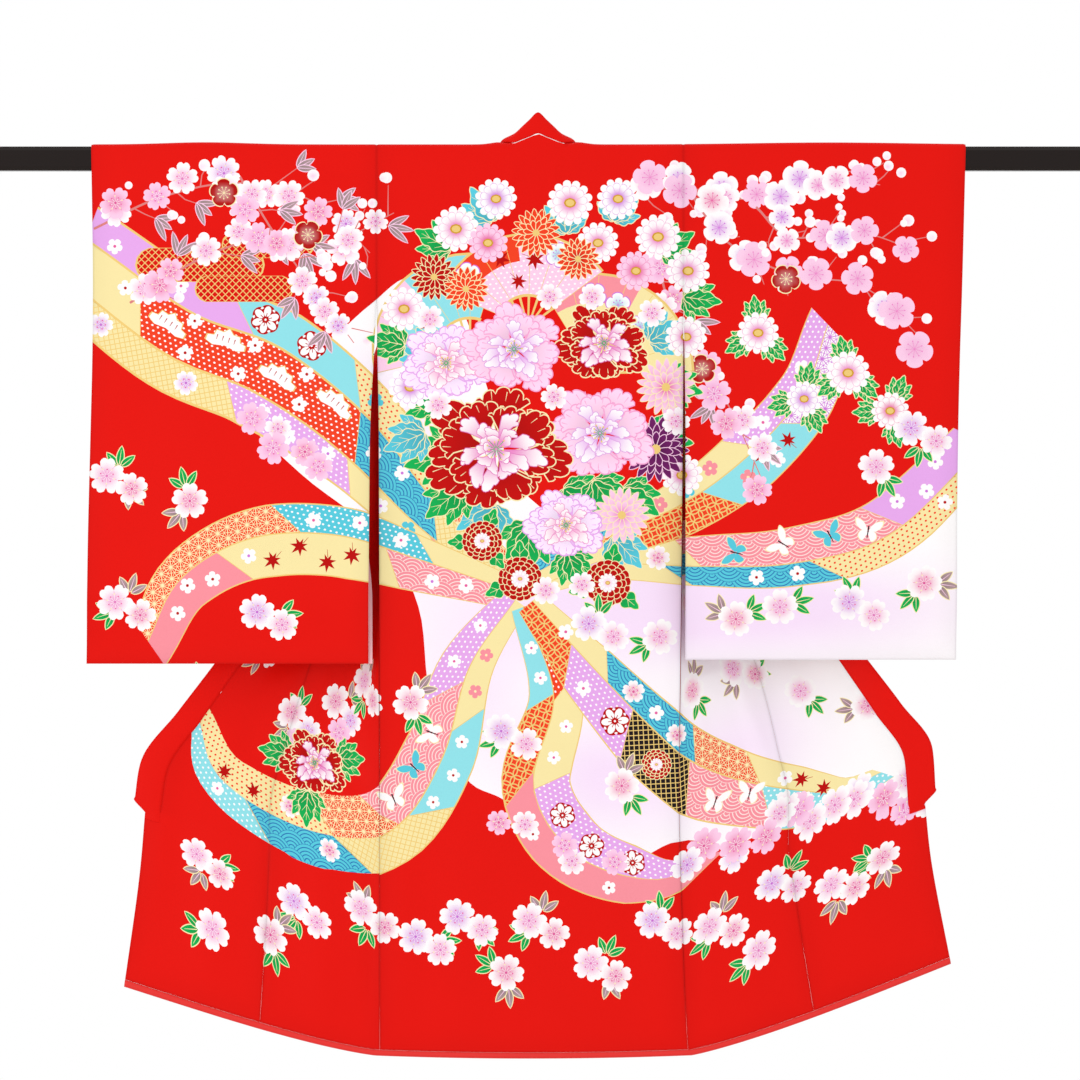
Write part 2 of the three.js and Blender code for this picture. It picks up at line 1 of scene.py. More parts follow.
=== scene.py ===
import math
import bpy
import numpy as np
from mathutils.geometry import delaunay_2d_cdt
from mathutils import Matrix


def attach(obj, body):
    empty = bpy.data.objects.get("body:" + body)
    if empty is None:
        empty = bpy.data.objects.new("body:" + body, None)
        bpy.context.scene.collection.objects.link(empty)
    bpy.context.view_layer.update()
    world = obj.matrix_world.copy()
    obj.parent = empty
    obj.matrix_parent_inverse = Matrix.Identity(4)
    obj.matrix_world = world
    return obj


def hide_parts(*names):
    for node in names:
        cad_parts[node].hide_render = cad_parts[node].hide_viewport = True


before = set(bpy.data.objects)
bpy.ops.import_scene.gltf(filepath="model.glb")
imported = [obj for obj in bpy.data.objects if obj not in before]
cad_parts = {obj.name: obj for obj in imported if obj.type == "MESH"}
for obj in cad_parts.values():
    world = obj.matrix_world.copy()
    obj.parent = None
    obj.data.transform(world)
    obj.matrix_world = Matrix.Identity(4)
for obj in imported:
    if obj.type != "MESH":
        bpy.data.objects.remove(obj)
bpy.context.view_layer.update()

# ---- Camera and studio -------------------------------------------------------------------------------
# A long lens stands square to the garment's back. White walls all round give an even light, a soft lamp at
# the left models the folds, a weaker one at the right fills them, and a pale floor lies well below the hem.
MM = 0.001
VIEW_MIDDLE = (0.010, -0.382)  # across and up, in metres
VIEW_WIDTH = 1.080
VIEW_DISTANCE = 4.0
BACK_PLANE = -0.010
FLOOR_LEVEL = -1.46


def colour(code):
    """A colour written as on a dye card, as linear light."""
    parts = [int(code[i:i + 2], 16) / 255 for i in (0, 2, 4)]
    return np.array([p / 12.92 if p < 0.04045 else ((p + 0.055) / 1.055) ** 2.4 for p in parts])


camera = bpy.data.objects.new("camera", bpy.data.cameras.new("camera"))
bpy.context.scene.collection.objects.link(camera)
camera.location = (VIEW_MIDDLE[0], BACK_PLANE - VIEW_DISTANCE, VIEW_MIDDLE[1])
camera.rotation_euler = (math.pi / 2, 0, 0)
camera.data.sensor_width = 36
camera.data.lens = camera.data.sensor_width * VIEW_DISTANCE / VIEW_WIDTH
camera.data.clip_end = 50
bpy.context.scene.camera = camera
bpy.context.scene.view_settings.view_transform = "Standard"

world = bpy.data.worlds.new("white room")
bpy.context.scene.world = world
world.use_nodes = True
world.node_tree.nodes["Background"].inputs["Color"].default_value = (1, 1, 1, 1)
world.node_tree.nodes["Background"].inputs["Strength"].default_value = 1.0
for name, place, turn, size, power in (
    ("key", (-1.7, -2.2, -0.5), (math.radians(88), 0, math.radians(-38)), 1.4, 12),
    ("fill", (1.0, -2.6, -1.0), (math.radians(104), 0, math.radians(20)), 1.8, 3),
):
    lamp = bpy.data.objects.new(name, bpy.data.lights.new(name, "AREA"))
    lamp.location, lamp.rotation_euler = place, turn
    lamp.data.size, lamp.data.energy = size, power
    bpy.context.scene.collection.objects.link(lamp)

bpy.ops.object.select_all(action="DESELECT")
bpy.ops.mesh.primitive_plane_add(size=4.4, location=(0, 0, FLOOR_LEVEL))
floor = bpy.context.object
floor.name = "floor"
bpy.ops.object.transform_apply(location=True, rotation=True, scale=True)
floor_paint = bpy.data.materials.new("floor paint")
floor_paint.use_nodes = True
floor_paint.node_tree.nodes["Principled BSDF"].inputs["Base Color"].default_value = (0.82, 0.81, 0.79, 1)
floor_paint.node_tree.nodes["Principled BSDF"].inputs["Roughness"].default_value = 0.7
floor.data.materials.append(floor_paint)

# ---- Rod ---------------------------------------------------------------------------------------------
# A squared wooden bar under many coats of black lacquer, rubbed smooth and a little dusty. Its shape is
# the construction's own, so it only gets its finish here.


def material(name, **values):
    """A new material, with its tree and its shader. Values are set on the shader's own sockets."""
    made = bpy.data.materials.new(name)
    made.use_nodes = True
    shader = made.node_tree.nodes["Principled BSDF"]
    for socket, value in values.items():
        shader.inputs[socket.replace("_", " ")].default_value = value
    return made, made.node_tree, shader


def add_node(tree, kind, **values):
    node = tree.nodes.new(kind)
    for key, value in values.items():
        if hasattr(node, key):
            setattr(node, key, value)
        else:
            node.inputs[key.replace("_", " ")].default_value = value
    return node


lacquer, tree, shader = material(
    "black lacquer", Base_Color=(0.008, 0.0035, 0.0025, 1), Specular_IOR_Level=0.1,
    Coat_Weight=0.16, Coat_Roughness=0.06,
)
place = add_node(tree, "ShaderNodeTexCoord")
rubbed = add_node(tree, "ShaderNodeMapping")
rubbed.inputs["Scale"].default_value = (4, 60, 60)
grain = add_node(tree, "ShaderNodeTexNoise", Scale=3.0, Detail=6.0, Roughness=0.6)
span = add_node(tree, "ShaderNodeMapRange", To_Min=0.2, To_Max=0.42)
relief = add_node(tree, "ShaderNodeBump", Strength=0.15, Distance=0.0004)
tree.links.new(place.outputs["Object"], rubbed.inputs["Vector"])
tree.links.new(rubbed.outputs["Vector"], grain.inputs["Vector"])
tree.links.new(grain.outputs["Fac"], span.inputs["Value"])
tree.links.new(span.outputs["Result"], shader.inputs["Roughness"])
tree.links.new(grain.outputs["Fac"], relief.inputs["Height"])
tree.links.new(relief.outputs["Normal"], shader.inputs["Normal"])
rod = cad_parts["rod"]
rod.data.materials.clear()
rod.data.materials.append(lacquer)

# ---- Back --------------------------------------------------------------------------------------------
# One width of figured silk crepe, dyed and lined, over the rod and down to the hem. Its print is laid out
# flat, in millimetres across from the rod's middle and down from the shoulder fold, and every patch of
# dye is cut into the cloth's own mesh.
OVER_TOP, OVER_FLAT, OVER_RADIUS = 13.4, 4.2, 6.0
OVER_END = OVER_FLAT + math.pi / 2 * OVER_RADIUS
HANG_DEPTH = OVER_FLAT + OVER_RADIUS
BODY_LENGTH = 921.0
COLLAR_END = 750.0
CLOTH_END = BODY_LENGTH - 6.1
CUT_SHY = 0.05  # how far a cut stays clear of its seam
BOTH_SIDES = ((-1, "left"), (1, "right"))
NECK_MIDDLE, NECK_HALF = 8.0, 38.0
NAPE_HALF, NAPE_RISE = 24.0, 10.0
HUMPS = ((-325, 2.2, 55), (-30, 2.4, 12), (47, 2.4, 12), (300, 2.0, 110))  # middle, rise, half length
SIDE = {  # distance down, half width of the back
    -1: ((0, 153.5), (153, 153.5), (300, 151.5), (921, 151)),
    1: ((0, 153.5), (153, 153.5), (521, 151), (657, 149.5), (780, 152.5), (850, 155), (921, 159)),
}


def smooth(start, end, value):
    share = np.clip((value - start) / (end - start), 0, 1)
    return share * share * (3 - 2 * share)


def read(table, column, at):
    """One column of a table at distances down the cloth, on a curve that never overshoots its rows."""
    rows = np.array(table, float)
    x, y = rows[:, 0], rows[:, column]
    step, rate = np.diff(x), np.diff(rows[:, column]) / np.diff(x)
    slope = np.zeros(len(x))
    slope[0], slope[-1] = rate[0], rate[-1]
    before, after = rate[:-1], rate[1:]
    mean = (before * step[1:] + after * step[:-1]) / (step[1:] + step[:-1])
    least = np.minimum(np.minimum(abs(before), abs(after)), abs(mean) / 2)
    slope[1:-1] = (np.sign(before) + np.sign(after)) * least
    at = np.clip(at, x[0], x[-1])
    i = np.clip(np.searchsorted(x, at, side="right") - 1, 0, len(step) - 1)
    s = (at - x[i]) / step[i]
    ends = y[i] + (y[i + 1] - y[i]) * s * s * (3 - 2 * s)
    return ends + step[i] * s * (1 - s) * ((1 - s) * slope[i] - s * slope[i + 1])


def over_bar(along):
    """Depth and height of a layer that lies over the bar, by its distance from the shoulder fold."""
    turn = np.clip((along - OVER_FLAT) / OVER_RADIUS, 0, math.pi / 2)
    depth = np.minimum(along, OVER_FLAT) + OVER_RADIUS * np.sin(turn)
    return depth, OVER_TOP - OVER_RADIUS * (1 - np.cos(turn)) - np.maximum(0, along - OVER_END)


def hump(x, along):
    rise = sum(rise * np.exp(-(((x - middle) / half) ** 2)) for middle, rise, half in HUMPS)
    return rise * (1 - smooth(0, 40, along))


def back_depth(along):
    return -HANG_DEPTH + (8 + HANG_DEPTH) * smooth(120, 560, along)


def back_place(flat):
    x, along = flat[:, 0], flat[:, 1]
    depth, z = over_bar(along)
    sag = 3 * smooth(COLLAR_END, BODY_LENGTH, along) * (1 - (x / 155) ** 2)
    z = z + hump(x, along) - sag
    y = np.where(along >= OVER_END, back_depth(along), -depth)
    from_neck = abs(x - NECK_MIDDLE)
    in_neck = (1 - smooth(NAPE_HALF, NECK_HALF, from_neck)) * (along < OVER_END)
    down = np.clip(along / OVER_END, 0, 1)
    peak = OVER_TOP + 1 + NAPE_RISE * np.clip(1 - from_neck / NAPE_HALF, 0, 1)
    stood_y = -HANG_DEPTH + 0.4 * (1 - down)
    stood_z = peak + (OVER_TOP - OVER_RADIUS - peak) * down
    y, z = y + (stood_y - y) * in_neck, z + (stood_z - z) * in_neck
    return np.stack([x, y, z], axis=1)


def half_back(side, along):
    """From the rod's middle to the back's side seam."""
    return read(SIDE[side], 1, along)


def creased(flat, folds):
    """How far soft folds lift the cloth. A fold runs between two points, with a half width and a height."""
    lift = np.zeros(len(flat))
    for x0, a0, x1, a1, half, height in folds:
        start, run = np.array((x0, a0), float), np.array((x1 - x0, a1 - a0), float)
        length = np.hypot(*run)
        share = (flat - start) @ run / length ** 2
        off = ((flat - start) @ np.array((-run[1], run[0]))) / length
        inside = smooth(-0.05, 0.25, share) * (1 - smooth(0.75, 1.05, share))
        lift += height * inside * np.exp(-((off / half) ** 2))
    return lift


# The dyer's palette.
RED, DEEP_RED, ORANGE_RED = colour("E00F06"), colour("B80806"), colour("EE4020")
WHITE, MIST, CREAM = colour("FBF8F8"), colour("F4DDF6"), colour("F6E9B4")
PINK, ROSE, PALE_PINK = colour("F2A3D0"), colour("E4609F"), colour("F8CBE6")
LILAC, ORCHID, PLUM = colour("E3A6E8"), colour("CE78D8"), colour("5A1650")
TURQUOISE, BLUE = colour("56C6D8"), colour("2A6FB0")
GREEN = colour("14AE52")
GREY_LEAF, TWIG, GOLD, BLACK = colour("AE9496"), colour("D9807E"), colour("EBC878"), colour("1C1418")
LINING_PINK, LINING_RED = colour("F4B9BE"), colour("E01A12")


def even(tone):
    return lambda spots: np.tile(tone, (len(spots), 1))


def shaded(centre, inner, outer, start, end):
    """A dye that runs from one tone to another, out from a centre."""
    def dye(spots):
        away = np.hypot(*(spots - np.array(centre)).T)
        return inner + (outer - inner) * smooth(start, end, away)[:, None]
    return dye


def brushed(start, end, tone_a, tone_b):
    """A dye that is brushed from one tone to another between two points."""
    start, run = np.array(start, float), np.array(end, float) - np.array(start, float)
    def dye(spots):
        share = (spots - start) @ run / (run @ run)
        return tone_a + (tone_b - tone_a) * smooth(0, 1, share)[:, None]
    return dye


def curve(points, each=8, closed=False):
    """A smooth line through given points."""
    points = np.array(points, float)
    n = len(points)
    if closed:
        ring = lambda k: points[k % n]
    else:
        ends = np.vstack([2 * points[0] - points[1], points, 2 * points[-1] - points[-2]])
        ring = lambda k: ends[k + 1]
    out = []
    for k in range(n if closed else n - 1):
        a, b, c, d = ring(k - 1), ring(k), ring(k + 1), ring(k + 2)
        for s in np.arange(each) / each:
            out.append(0.5 * (2 * b + (c - a) * s + (2 * a - 5 * b + 4 * c - d) * s ** 2
                              + (3 * b - a - 3 * c + d) * s ** 3))
    if not closed:
        out.append(points[-1])
    return np.array(out)


def turned(shape, centre, turn=0.0, size=1.0):
    c, s = math.cos(turn) * size, math.sin(turn) * size
    return np.array(shape) @ np.array(((c, s), (-s, c))) + np.array(centre, float)


def heading(way):
    return np.array((math.cos(way), math.sin(way)))


def rosette(petals, radius, depth, roundness, notch=0.0, each=10):
    """The outline of an open blossom: deep valleys between its petals, and a nick in each tip."""
    angle = np.arange(petals * each) * 2 * math.pi / (petals * each)
    wave = abs(np.cos(petals / 2 * angle)) ** roundness
    away = abs((angle * petals / (2 * math.pi) + 0.5) % 1 - 0.5)
    r = radius * (1 - depth + depth * wave - notch * np.exp(-((away / 0.09) ** 2)))
    return np.stack([r * np.cos(angle), r * np.sin(angle)], axis=1)


def disc(radius, each=12):
    angle = np.arange(each) * 2 * math.pi / each
    return radius * np.stack([np.cos(angle), np.sin(angle)], axis=1)


def stroke(line, width, end_width=None):
    """The outline of a brush line that may taper."""
    line = np.array(line, float)
    along = np.gradient(line, axis=0)
    side = np.stack([-along[:, 1], along[:, 0]], axis=1) / np.hypot(*along.T)[:, None]
    half = np.linspace(width, width if end_width is None else end_width, len(line))[:, None] / 2
    return np.vstack([line + side * half, (line - side * half)[::-1]])


def grown(shape, by):
    """An outline moved outwards by the same width all round."""
    along = np.roll(shape, -1, axis=0) - np.roll(shape, 1, axis=0)
    side = np.stack([along[:, 1], -along[:, 0]], axis=1) / np.maximum(np.hypot(*along.T), 1e-6)[:, None]
    x, y = shape.T
    return shape + side * (by if (x * np.roll(y, -1) - y * np.roll(x, -1)).sum() > 0 else -by)


class Patch:
    """A patch of dye: its outline, its tone, and for figured cloth which figure and how it is turned."""
    def __init__(self, outline, dye, figure="plain", turn=0.0):
        self.outline = np.array(outline, float)
        self.dye = dye if callable(dye) else even(dye)
        self.figure, self.turn = figure, turn
        self.low, self.high = self.outline.min(0), self.outline.max(0)


def cherry(x, a, size, turn, heart=ROSE, petal=WHITE):
    """A cherry blossom: five nicked petals, deep at the heart and pale at the rim, with stamens."""
    centre = (x, a)
    soft = heart + (WHITE - heart) * 0.12
    patches = [Patch(turned(rosette(5, size, 0.38, 0.5, 0.15), centre, turn),
                     shaded(centre, soft, petal, 0.0, 0.86 * size))]
    for k in range(5):
        way = turn + (k + 0.5) * 2 * math.pi / 5
        line = [np.array(centre) + r * size * heading(way) for r in (0.2, 0.6)]
        patches.append(Patch(stroke(line, 0.6, 0.3), heart))
    for k in range(10):
        way = turn + k * 2 * math.pi / 10
        tip = np.array(centre) + (0.34 + 0.08 * (k % 2)) * size * heading(way)
        patches.append(Patch(stroke([centre, tip], 0.4), WHITE))
        patches.append(Patch(turned(disc(0.8, 6), tip), CREAM if k % 2 else ROSE))
    patches.append(Patch(turned(disc(1.4, 8), centre), heart * 0.9))
    return patches


def plum(x, a, size, turn, heart=ROSE, petal=WHITE, rim=None):
    """A plum blossom: five round petals and a ring of stamens."""
    centre = (x, a)
    patches = []
    if rim is not None:
        patches.append(Patch(turned(rosette(5, size + 1.1, 0.3, 0.36), centre, turn), rim))
    soft = heart + (WHITE - heart) * 0.3
    patches.append(Patch(turned(rosette(5, size, 0.3, 0.36), centre, turn),
                         shaded(centre, soft, petal, 0.1 * size, 0.8 * size)))
    for k in range(9):
        tip = np.array(centre) + 0.42 * size * heading(turn + k * 2 * math.pi / 9)
        patches.append(Patch(stroke([centre, tip], 0.4), heart if rim is None else rim))
        patches.append(Patch(turned(disc(0.75, 6), tip), heart if rim is None else rim))
    return patches


def bud(x, a, size):
    return [Patch(turned(disc(size, 14), (x, a)), shaded((x - 1, a + 1), PALE_PINK, WHITE, 0, size))]


def leaf(base, way, length, width, tone=GREEN, rim=CREAM, vein=CREAM, lobes=0, cut=0.0):
    """A pointed leaf with a light edge and a rib. Its sides may be cut into lobes."""
    share = np.linspace(0, 1, 9 + 5 * lobes)
    half = width / 2 * np.sin(math.pi * share ** 0.8) ** 0.85
    half = half * (1 - cut * abs(np.sin(lobes * math.pi * share)) ** 3) if lobes else half
    shape = np.vstack([np.stack([share * length, half], axis=1),
                       np.stack([share * length, -half], axis=1)[::-1][1:-1]])
    c, s = math.cos(way), math.sin(way)
    tip = np.array(base) + length * np.array((c, s))
    made = [Patch(grown(turned(shape, base, way), 0.9), rim),
            Patch(turned(shape, base, way), brushed(base, tip, tone * 0.72, tone * 1.05)),
            Patch(stroke(turned([(0.06 * length, 0), (0.8 * length, 0)], base, way), 0.9, 0.3), vein)]
    for k in range(lobes):
        root = (0.16 + 0.62 * k / lobes) * length
        for flip in (1, -1):
            vein_line = [(root, 0), (root + 0.2 * length, flip * 0.33 * width * (1 - 0.18 * k))]
            made.append(Patch(stroke(turned(vein_line, base, way), 0.55, 0.25), vein))
    return made


def spray(x, a, way, length, tone):
    """Three leaves that open from one point."""
    vein = PALE_PINK if tone is GREY_LEAF else CREAM
    made = []
    for turn, part in ((-0.72, 0.86), (0.08, 1.0), (0.85, 0.9)):
        base = (x, a) + 3 * heading(way + turn)
        made += leaf(base, way + turn, length * part, length * 0.36, tone, CREAM, vein)
    return made


def daisy(x, a, size, turn, inner=PINK, outer=WHITE, petals=13):
    """A single chrysanthemum: two rings of petals round a gold heart, blushed near it."""
    centre = (x, a)
    made = []
    edge = inner + (outer - inner) * 0.35
    for part, more, shift in ((1.0, 0, 0.0), (0.74, -2, 0.2)):
        count = petals + more
        if part < 1:
            under = rosette(count, size * part + 0.7, 0.24, 0.46, 0, 8)
            made.append(Patch(turned(under, centre, turn + shift), edge))
        made.append(Patch(turned(rosette(count, size * part, 0.24, 0.46, 0, 8), centre, turn + shift),
                          shaded(centre, inner, outer, 0.15 * size, 0.8 * size * part)))
        for k in range(count):
            way = turn + shift + (k + 0.5) * 2 * math.pi / count
            line = [np.array(centre) + r * size * part * heading(way) for r in (0.35, 0.82)]
            made.append(Patch(stroke(line, 0.35, 0.6), edge))
    made.append(Patch(turned(rosette(8, 0.27 * size, 0.14, 0.6, 0, 3) * (1, 0.8), centre), colour("CF9A2C")))
    made.append(Patch(turned(disc(0.19 * size, 10) * (1, 0.8), centre), GOLD))
    return made


def petal_ring(centre, count, start, length, width, turn, tone, tip, rim, blunt=0.55):
    """A ring of petals, each an outline of gold or cream filled with dye that is shaded to its tip."""
    made = []
    share = np.array((0, 0.3, 0.62, 0.85, 0.96, 1.0))
    half = width / 2 * np.array((0.35, 0.72, 1.0, blunt + 0.28, blunt * 0.75, 0.0))
    shape = np.vstack([np.stack([start + share * length, half], axis=1),
                       np.stack([start + share * length, -half], axis=1)[::-1][1:]])
    for k in range(count):
        way = turn + k * 2 * math.pi / count
        end = np.array(centre) + (start + length) * heading(way)
        made.append(Patch(grown(turned(shape, centre, way), 0.75), rim))
        made.append(Patch(turned(shape, centre, way), brushed(centre, end, tone, tip)))
    return made


def pompon(x, a, size, turn, tone=DEEP_RED, rim=GOLD, heart=WHITE):
    """A full chrysanthemum: rings of round petals laid like scales round a white daisy."""
    centre = (x, a)
    made = []
    for ring, (part, count) in enumerate(((0.78, 17), (0.58, 14), (0.4, 11))):
        made += petal_ring(centre, count, part * size - 5, size * 0.22 + 5, 2.3 * math.pi * part * size / count,
                           turn + ring * 0.2, tone, tone, rim, 0.72)
    made += daisy(x, a, size * 0.42, turn, PALE_PINK, heart, 12)
    return made


def starburst(x, a, size, turn, tone, tip, rim):
    """A double chrysanthemum with pointed petals in three rings."""
    centre = (x, a)
    made = []
    for ring, (part, count) in enumerate(((1.0, 18), (0.76, 15), (0.52, 11))):
        made += petal_ring(centre, count, 0.12 * size, size * part - 0.12 * size, 4.4 * size * part / count,
                           turn + ring * 0.17, tone, tip, rim, 0.35)
    made.append(Patch(turned(disc(0.15 * size, 10), centre), GOLD))
    return made


def peony(x, a, size, turn, outer, rim, inner, shade, flat=0.86):
    """A tree peony: ruffled outer petals behind a cup of long curled ones, and green and gold stamens."""
    centre = np.array((x, a), float)
    squash = np.array((1.0, flat))
    made = []
    for count, reach, wide, root, lobes, shift, low, high, edge in (
        (8, 1.0, 0.46, 0.2, 4, 0.0, outer * 0.8, outer * 1.12, rim),
        (7, 0.8, 0.5, 0.15, 4, 0.4, outer * 0.85, outer * 1.12, rim),
        (8, 0.62, 0.25, 0.05, 2, 0.75, shade, inner, shade * 0.92),
        (7, 0.46, 0.3, 0.02, 2, 0.25, shade, inner, shade * 0.92),
        (6, 0.3, 0.36, 0.0, 2, 0.6, shade, inner, shade * 0.92),
        (4, 0.2, 0.5, 0.0, 1, 0.1, shade, inner, shade * 0.92),
    ):
        for k in range(count):
            wobble, other = math.sin(7.3 * k + 11 * shift), math.sin(4.1 * k + 5 * shift + 1)
            way = turn + shift + (k + 0.2 * wobble) * 2 * math.pi / count
            far_out = size * reach * (1 + (0.09 if reach > 0.75 else 0.17) * other)
            across = np.linspace(-1, 1, 6 * lobes + 1)
            ruffle = abs(np.cos(lobes * math.pi * (across + 1) / 2)) ** 0.5
            tip = far_out * (1 - 0.2 * across ** 2 - 0.09 * (1 - ruffle)
                             + 0.05 * np.sin(2.3 * across + 5 * wobble))
            angle = wide * across * (1 + 0.12 * wobble)
            foot = size * root
            side_r = foot + (far_out - foot) * np.array((0.66, 0.3))
            side_a = wide * np.array((0.82, 0.42))
            radius = np.concatenate([tip, side_r, [foot], side_r[::-1]])
            bearing = np.concatenate([angle, side_a, [0], -side_a[::-1]])
            bend = (0.42 if lobes < 3 else 0.12) * wobble * (radius / far_out) ** 2
            shape = np.stack([radius * np.cos(bearing + bend), radius * np.sin(bearing + bend)], axis=1)
            made.append(Patch(grown(turned(shape, (0, 0), way) * squash + centre, 1.3 if lobes > 2 else 0.8),
                              edge))
            end = centre + far_out * heading(way) * squash
            start = centre + 0.25 * (end - centre)
            made.append(Patch(turned(shape, (0, 0), way) * squash + centre, brushed(start, end, low, high)))
            if lobes > 2:
                for side in (-0.42, 0.1, 0.5):
                    fold = [(r * far_out * math.cos(side * wide),
                             r * far_out * math.sin(side * wide)) for r in (0.9, 0.76)]
                    made.append(Patch(stroke(turned(fold, (0, 0), way) * squash + centre, 0.9, 0.3), edge))
    for k in range(13):
        way = turn + k * 2 * math.pi / 13
        root, spot = (centre + r * size * heading(way) for r in (0.02, 0.1 + 0.03 * (k % 3)))
        made.append(Patch(stroke([root, spot], 0.6, 0.6), GREEN))
        made.append(Patch(turned(disc(1.0, 6), spot), GOLD))
    return made


def fan(x, a, size, turn, tone, figure, wing):
    """A folding fan: a sheet of figured paper on gold ribs, with a bar of another tone along its edge."""
    way = np.linspace(-1.05, 1.05, 15)
    arc = lambda r: np.stack([r * size * np.sin(way), -r * size * np.cos(way)], axis=1)
    made = [Patch(turned(np.vstack([arc(1.025), arc(0.33)[::-1]]), (x, a), turn), GOLD)]
    made.append(Patch(turned(np.vstack([arc(1.0), arc(0.36)[::-1]]), (x, a), turn), tone, figure, turn))
    made.append(Patch(turned(np.vstack([arc(1.0)[:8], arc(0.72)[:8][::-1]]), (x, a), turn), wing))
    for k in range(0, 15, 2):
        rib = [(r * size * math.sin(way[k]), -r * size * math.cos(way[k])) for r in (0.0, 0.36)]
        made.append(Patch(stroke(turned(rib, (x, a), turn), 1.4, 2.6), GOLD))
        crease = [(r * size * math.sin(way[k]), -r * size * math.cos(way[k])) for r in (0.37, 0.99)]
        made.append(Patch(stroke(turned(crease, (x, a), turn), 0.5, 0.7), GOLD))
    return made


def broad_leaf(x, a, way, size, tone=GREEN):
    """Peony leaves: a spray of long ones with cut edges."""
    made = []
    for turn, part in ((-1.05, 0.66), (1.05, 0.7), (-0.5, 0.86), (0.52, 0.84), (0.0, 1.0)):
        made += leaf((x, a), way + turn, size * part, 0.5 * size * part, tone, CREAM, CREAM, 3, 0.26)
    return made


def maple(x, a, size, turn, tone=DEEP_RED):
    """A maple leaf with seven points."""
    way = np.arange(14) * math.pi / 7
    reach = np.where(np.arange(14) % 2 == 0, 1.0, 0.42) * (0.86 + 0.14 * np.cos(way))
    shape = size * reach[:, None] * np.stack([np.cos(way), np.sin(way)], axis=1)
    stalk = turned([(-0.4 * size, 0), (-1.1 * size, 0.12 * size)], (x, a), turn)
    return [Patch(stroke(stalk, 0.7, 0.4), tone), Patch(turned(shape, (x, a), turn), tone)]


def medallion(x, a, size, turn, line=DEEP_RED):
    """A round blossom: white petals in a ring, drawn in red."""
    centre = (x, a)
    made = [Patch(turned(rosette(6, size, 0.16, 0.5), centre, turn), line)]
    for k in range(6):
        way = turn + k * 2 * math.pi / 6
        spot = centre + 0.56 * size * heading(way)
        oval = disc(1, 12) * (0.36 * size, 0.24 * size)
        made.append(Patch(turned(oval, spot, way), WHITE))
        line_in = [np.array(centre) + r * size * heading(way) for r in (0.15, 0.45)]
        made.append(Patch(stroke(line_in, 0.8, 0.8), line))
        side = way + math.pi / 6
        nook = centre + 0.8 * size * heading(side)
        made.append(Patch(turned(disc(1, 8) * (0.07 * size, 0.11 * size), nook, side), WHITE))
    made.append(Patch(turned(disc(0.13 * size, 10), centre), line))
    made.append(Patch(turned(disc(0.08 * size, 8), centre), WHITE))
    return made


def butterfly(x, a, size, turn, tone, rim=CREAM):
    """A small butterfly with spread wings."""
    upper = curve([(0.05, 0.08), (0.45, 0.75), (1.1, 1.0), (1.0, 0.45), (0.5, 0.08)], 4, True)
    lower = curve([(0.05, -0.02), (0.55, 0.05), (0.75, -0.4), (0.4, -0.75), (0.1, -0.3)], 4, True)
    made = []
    for wing in (upper, lower):
        for flip in (1, -1):
            shape = wing * (flip * size, size)
            made.append(Patch(turned(shape * 1.09, (x, a), turn), rim))
            made.append(Patch(turned(shape, (x, a), turn), tone))
    made.append(Patch(stroke(turned([(0, 0.5 * size), (0, -0.55 * size)], (x, a), turn), 1.5, 0.8), BLACK))
    return made


def pine(x, a, size, turn):
    """A pine bough as a white cloud with a scalloped top."""
    top = [(-1, 0), (-0.98, -0.28), (-0.66, -0.34), (-0.6, -0.62), (-0.24, -0.6), (0, -0.84), (0.26, -0.6),
           (0.6, -0.6), (0.68, -0.32), (0.98, -0.26), (1, 0)]
    shape = np.array(top + [(0.6, 0.12), (0, 0.02), (-0.6, 0.14)]) * size
    made = [Patch(turned(shape * 1.07, (x, a), turn), GOLD), Patch(turned(shape, (x, a), turn), WHITE)]
    for k in (-0.5, -0.2, 0.12, 0.42):
        needle = turned([(k * size, -0.42 * size), (k * size, -0.16 * size)], (x, a), turn)
        made.append(Patch(stroke(needle, 1.1, 0.4), DEEP_RED))
    return made


